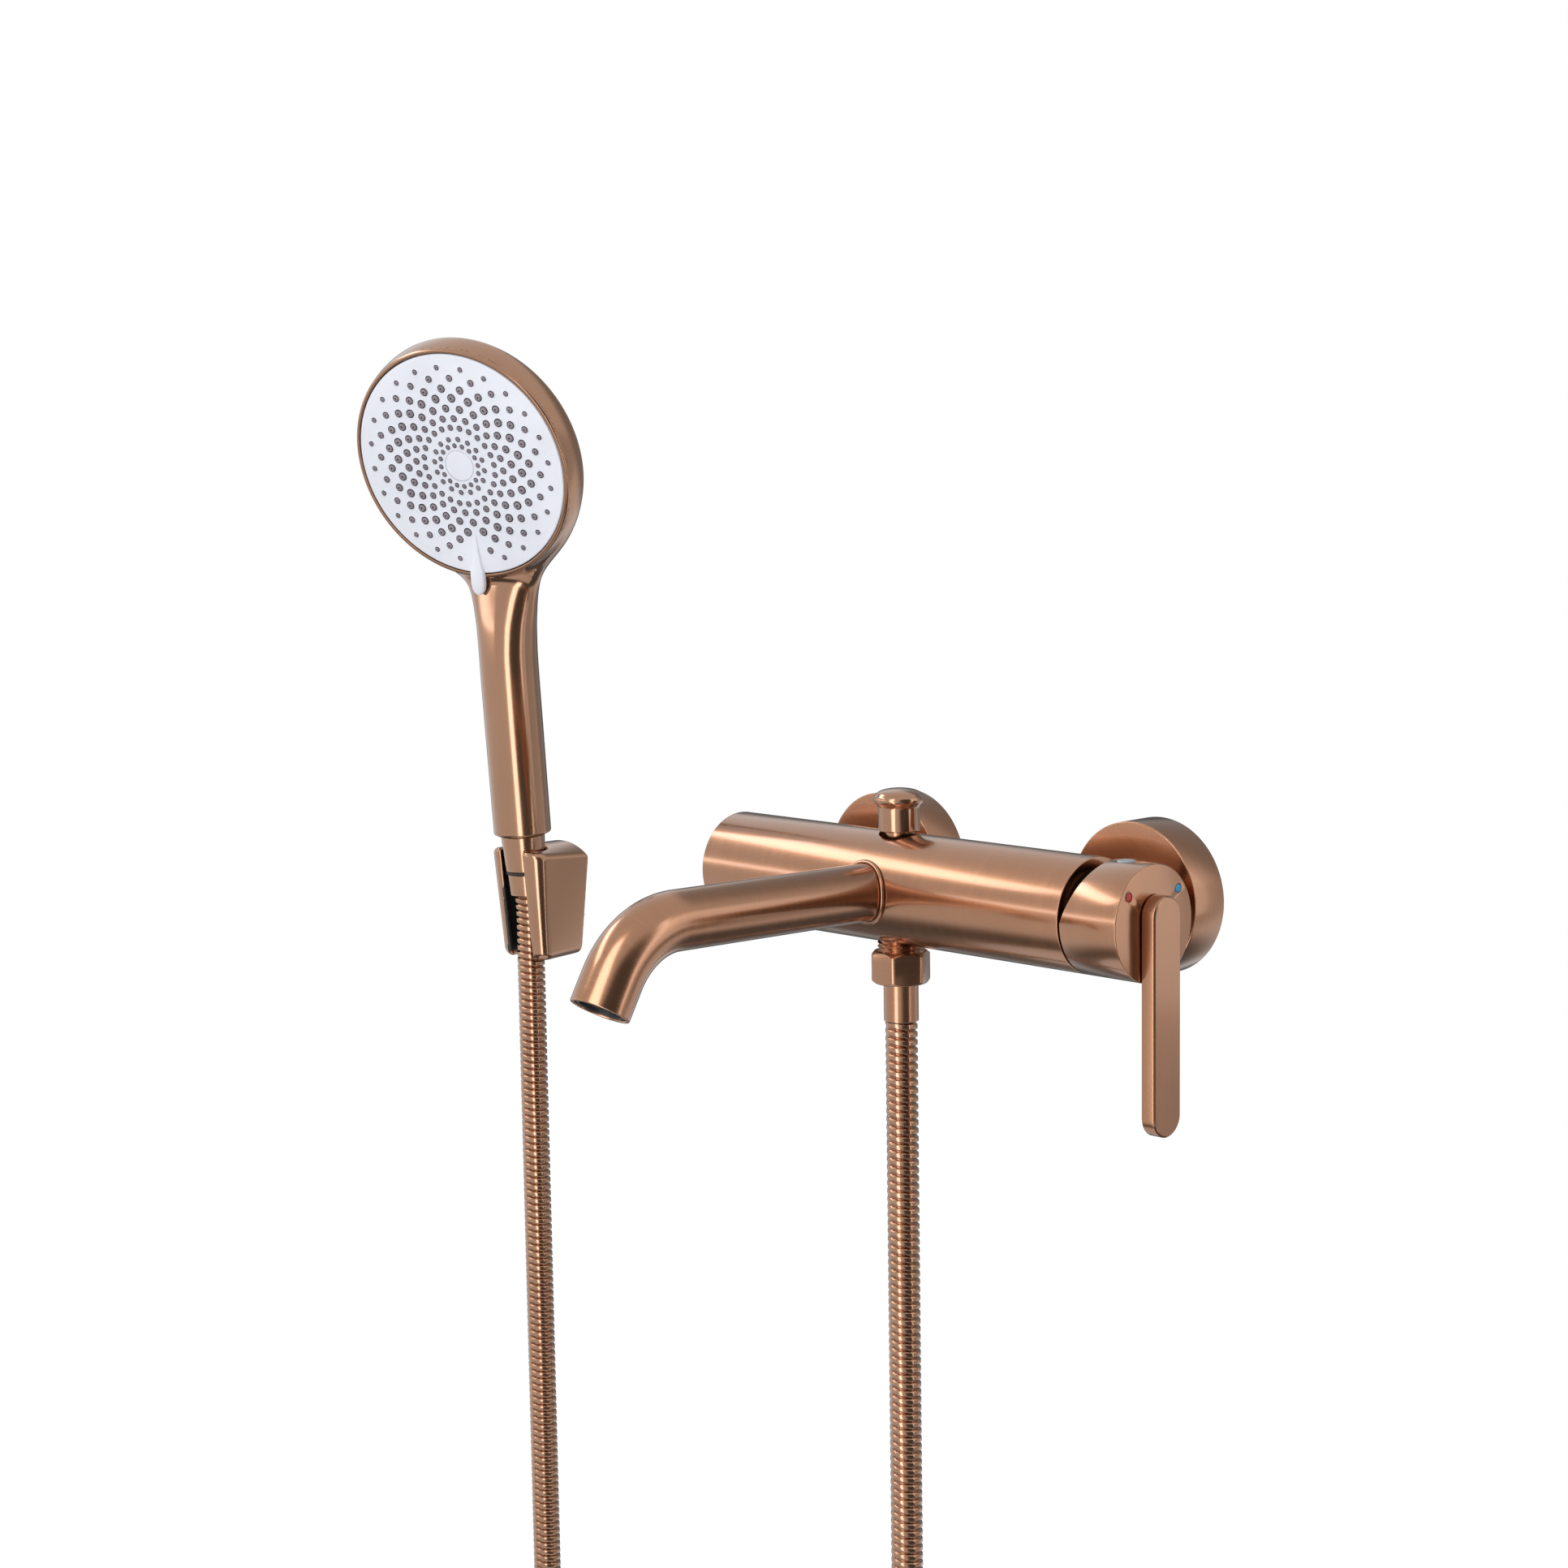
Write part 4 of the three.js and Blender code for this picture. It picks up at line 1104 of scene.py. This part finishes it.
# ---- wall holder
def holder_field():
    low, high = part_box("shower_holder")
    bottom, top = low[2] / MM, high[2] / MM
    depth, half = -low[1] / MM, (high[0] - low[0]) / MM / 2
    foot = SHOWER_FOOT
    lean = tan(SHOWER_LEAN)

    def field(points):
        x, y, z = points.T
        down = (top - z) / (top - bottom)
        deep = y / (1 - 0.15 * down)
        toward = 1 + deep / depth
        wide = x / (1 - down * (0.08 + 0.35 * toward))
        sides = np.abs(wide) - half
        block = meet(meet(sides, -deep - depth, 9), deep, 1.5)
        crown = top - (np.clip(np.abs(wide) / half, 0, 1.1) ** 2) * (2.4 + 3.6 * np.clip(toward, 0, 1))
        block = meet(meet(block, z - crown, 3), bottom - z, 4.5)
        height = z - foot.z
        cone = np.hypot(x, y - foot.y + lean * height) - (9.6 + 2.8 * (height + 90) / 82)
        slot = np.maximum(np.abs(x) - 9, y - foot.y - 4)
        pocket = np.maximum(np.maximum(np.abs(x) - 9, -y - 4.6), np.abs(z + 44) - 22)
        return meet(np.maximum(block, -pocket), -np.minimum(cone, slot), 1.6)

    return field


def make_holder():
    """Plated outside, and black on the faces round the socket and the slot: painted shade inside them."""
    holder = from_field("holder_skin", "shower_holder", holder_field(), place(HOLDER_X, 0, 0), 0.7)
    finish_piece(holder, POLISHED, "faucet", "plated_plastic", "shower_holder")
    holder.data.materials.append(BLACK)
    low, high = (corner[2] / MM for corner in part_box("shower_holder"))
    # faces deep in the socket and the slot get the black material: painted shade
    for face in holder.data.polygons:
        x, y, z = face.center / MM
        height = z - SHOWER_FOOT.z
        from_axis = hypot(x - HOLDER_X, y - SHOWER_FOOT.y + tan(SHOWER_LEAN) * height)
        painted_shade_inside = -36 < y < -6 and low + 3 < z < high - 9
        if painted_shade_inside and (from_axis < 13 or abs(x - HOLDER_X) < 9.3):
            face.material_index = 1


# ---- pieces that keep their CAD shape
def dress_inner_pieces():
    looks = {
        BRASS: ("left_union", "right_union", "shower_inlet"),
        # the cartridge nut gets the darkened brass: painted shade in the gap round it
        BRASS_PAINTED_SHADE: ("cartridge_nut",),
        STEEL: (
            "pivot_pin", "cartridge_spindle", "grub_screw", "diverter_rod", "holder_plate",
            "holder_screw_upper", "holder_screw_lower",
        ),
        WHITE: ("cartridge_base", "cartridge_case"),
        BLACK: ("cartridge_carrier", "spray_core"),
        RUBBER: (
            "left_union_washer", "right_union_washer", "diverter_seal", "hose_washer", "shower_washer",
        ),
    }
    for material, names in looks.items():
        for name in names:
            thing = frame["nodes"][name]
            if not thing.material_slots:
                thing.data.materials.append(material)
            for slot in thing.material_slots:
                slot.material = material


# ---- stage and light
def make_stage():
    """A round pale floor under the hanging hose."""
    shader = Shader("stage_floor", Roughness=0.9)
    grains = shader.noise(shader.coordinates((6, 6, 6)), detail=3)
    shader.blend(shader.spread(grains, 0, 1), (0.9, 0.9, 0.9), (0.94, 0.94, 0.94))
    outline = ring(FLOOR_RADIUS, CAD_BOX[0][2] / MM - FLOOR_DROP, 128, *FLOOR_CENTRE)
    floor = new_object("floor", outline, [tuple(range(128))], place())
    floor.data.materials.append(shader.material)


def softbox(name, where, aim, size, radiance):
    """Rectangular studio light: size is its width and height in metres."""
    data = bpy.data.lights.new(name, "AREA")
    data.shape = "RECTANGLE"
    data.size, data.size_y = size
    data.energy = radiance * pi * size[0] * size[1]
    lamp = bpy.data.objects.new(name, data)
    lamp.location = where
    lamp.rotation_euler = (Vector(aim) - Vector(where)).to_track_quat("-Z", "Y").to_euler()
    lamp.visible_camera = False
    bpy.context.scene.collection.objects.link(lamp)
    return lamp


def make_surround():
    """White ground for the camera. Reflections see a pale studio with soft edged dark cards in it."""
    world = bpy.data.worlds.new("studio")
    world.use_nodes = True
    bpy.context.scene.world = world
    studio = Nodes(world.node_tree)
    direction = studio.node("ShaderNodeTexCoord").outputs["Generated"]

    def card(axis, low, high, outside, inside):
        """Factor by the cosine to the axis: outside below low, and inside above high."""
        dot = studio.node("ShaderNodeVectorMath", [(1, axis)], operation="DOT_PRODUCT")
        studio.link(direction, dot.inputs[0])
        return studio.ramp(dot.outputs["Value"], low, high, outside, inside, interpolation_type="SMOOTHSTEP")

    strength = card((0.985, -0.17, 0), 0.7, 0.9, 0.8, 0.1)  # past the right end
    for dark_card in (
        card((-0.708, 0.685, -0.17), 0.84, 0.96, 1.0, 0.15),  # behind, to the left
        card((-0.083, 0.954, 0.287), 0.76, 0.87, 1.0, 0.4),  # straight behind
        card((0.713, 0.69, -0.126), 0.9, 0.98, 1.0, 0.65),  # behind, to the right
    ):
        strength = studio.combine(strength, dark_card, "MULTIPLY")
    # dim below, so that undersides stay dark
    strength = studio.combine(strength, card((0, 0, 1), -0.68, -0.48, 0.15, 1.0), "MULTIPLY")
    room = world.node_tree.nodes["Background"]
    room.inputs["Color"].default_value = (1, 1, 1, 1)
    studio.link(strength, room.inputs["Strength"])
    seen = studio.node("ShaderNodeBackground", [("Color", (1, 1, 1, 1))])
    path = studio.node("ShaderNodeLightPath")
    mix = studio.node("ShaderNodeMixShader")
    studio.link(path.outputs["Is Camera Ray"], mix.inputs["Fac"])
    studio.link(room.outputs[0], mix.inputs[1])
    studio.link(seen.outputs[0], mix.inputs[2])
    studio.link(mix.outputs[0], world.node_tree.nodes["World Output"].inputs["Surface"])
    bpy.context.scene.view_settings.view_transform = "Standard"


def make_light():
    make_surround()
    softbox("front_strip", (0.03, -0.42, 0.0), (-0.33, -0.03, 0.0), (0.15, 0.9), 3.0)
    softbox("top_bank", (-1.06, -0.58, 0.92), (0.0, -0.06, 0.0), (1.2, 0.27), 3.6)
    softbox("left_strip", (-0.86, -0.91, 0.14), (0.0, -0.08, 0.0), (1.2, 0.1), 2.4)
    softbox("right_panel", (0.469, 0.221, 0.09), (0.09, -0.009, 0.09), (0.27, 0.44), 0.6)
    softbox("right_strip", (0.56, 0.09, 0.0), (0.0, -0.06, 0.0), (0.09, 0.9), 1.6)
    matt_fill = softbox("matt_fill", (-0.1, -0.6, 0.05), (-0.32, -0.07, 0.19), (0.4, 0.4), 1.7)
    matt_fill.visible_glossy = False


make_camera()
make_hose()
make_body()
for inlet_side, inlet_x in INLET_X.items():
    make_inlet(inlet_side, inlet_x)
make_lever_head()
make_lever()
make_handle_trim()
make_spout()
make_spout_ring()
make_aerator()
make_diverter()
make_outlet()
make_shower()
make_holder()
dress_inner_pieces()
make_stage()
make_light()
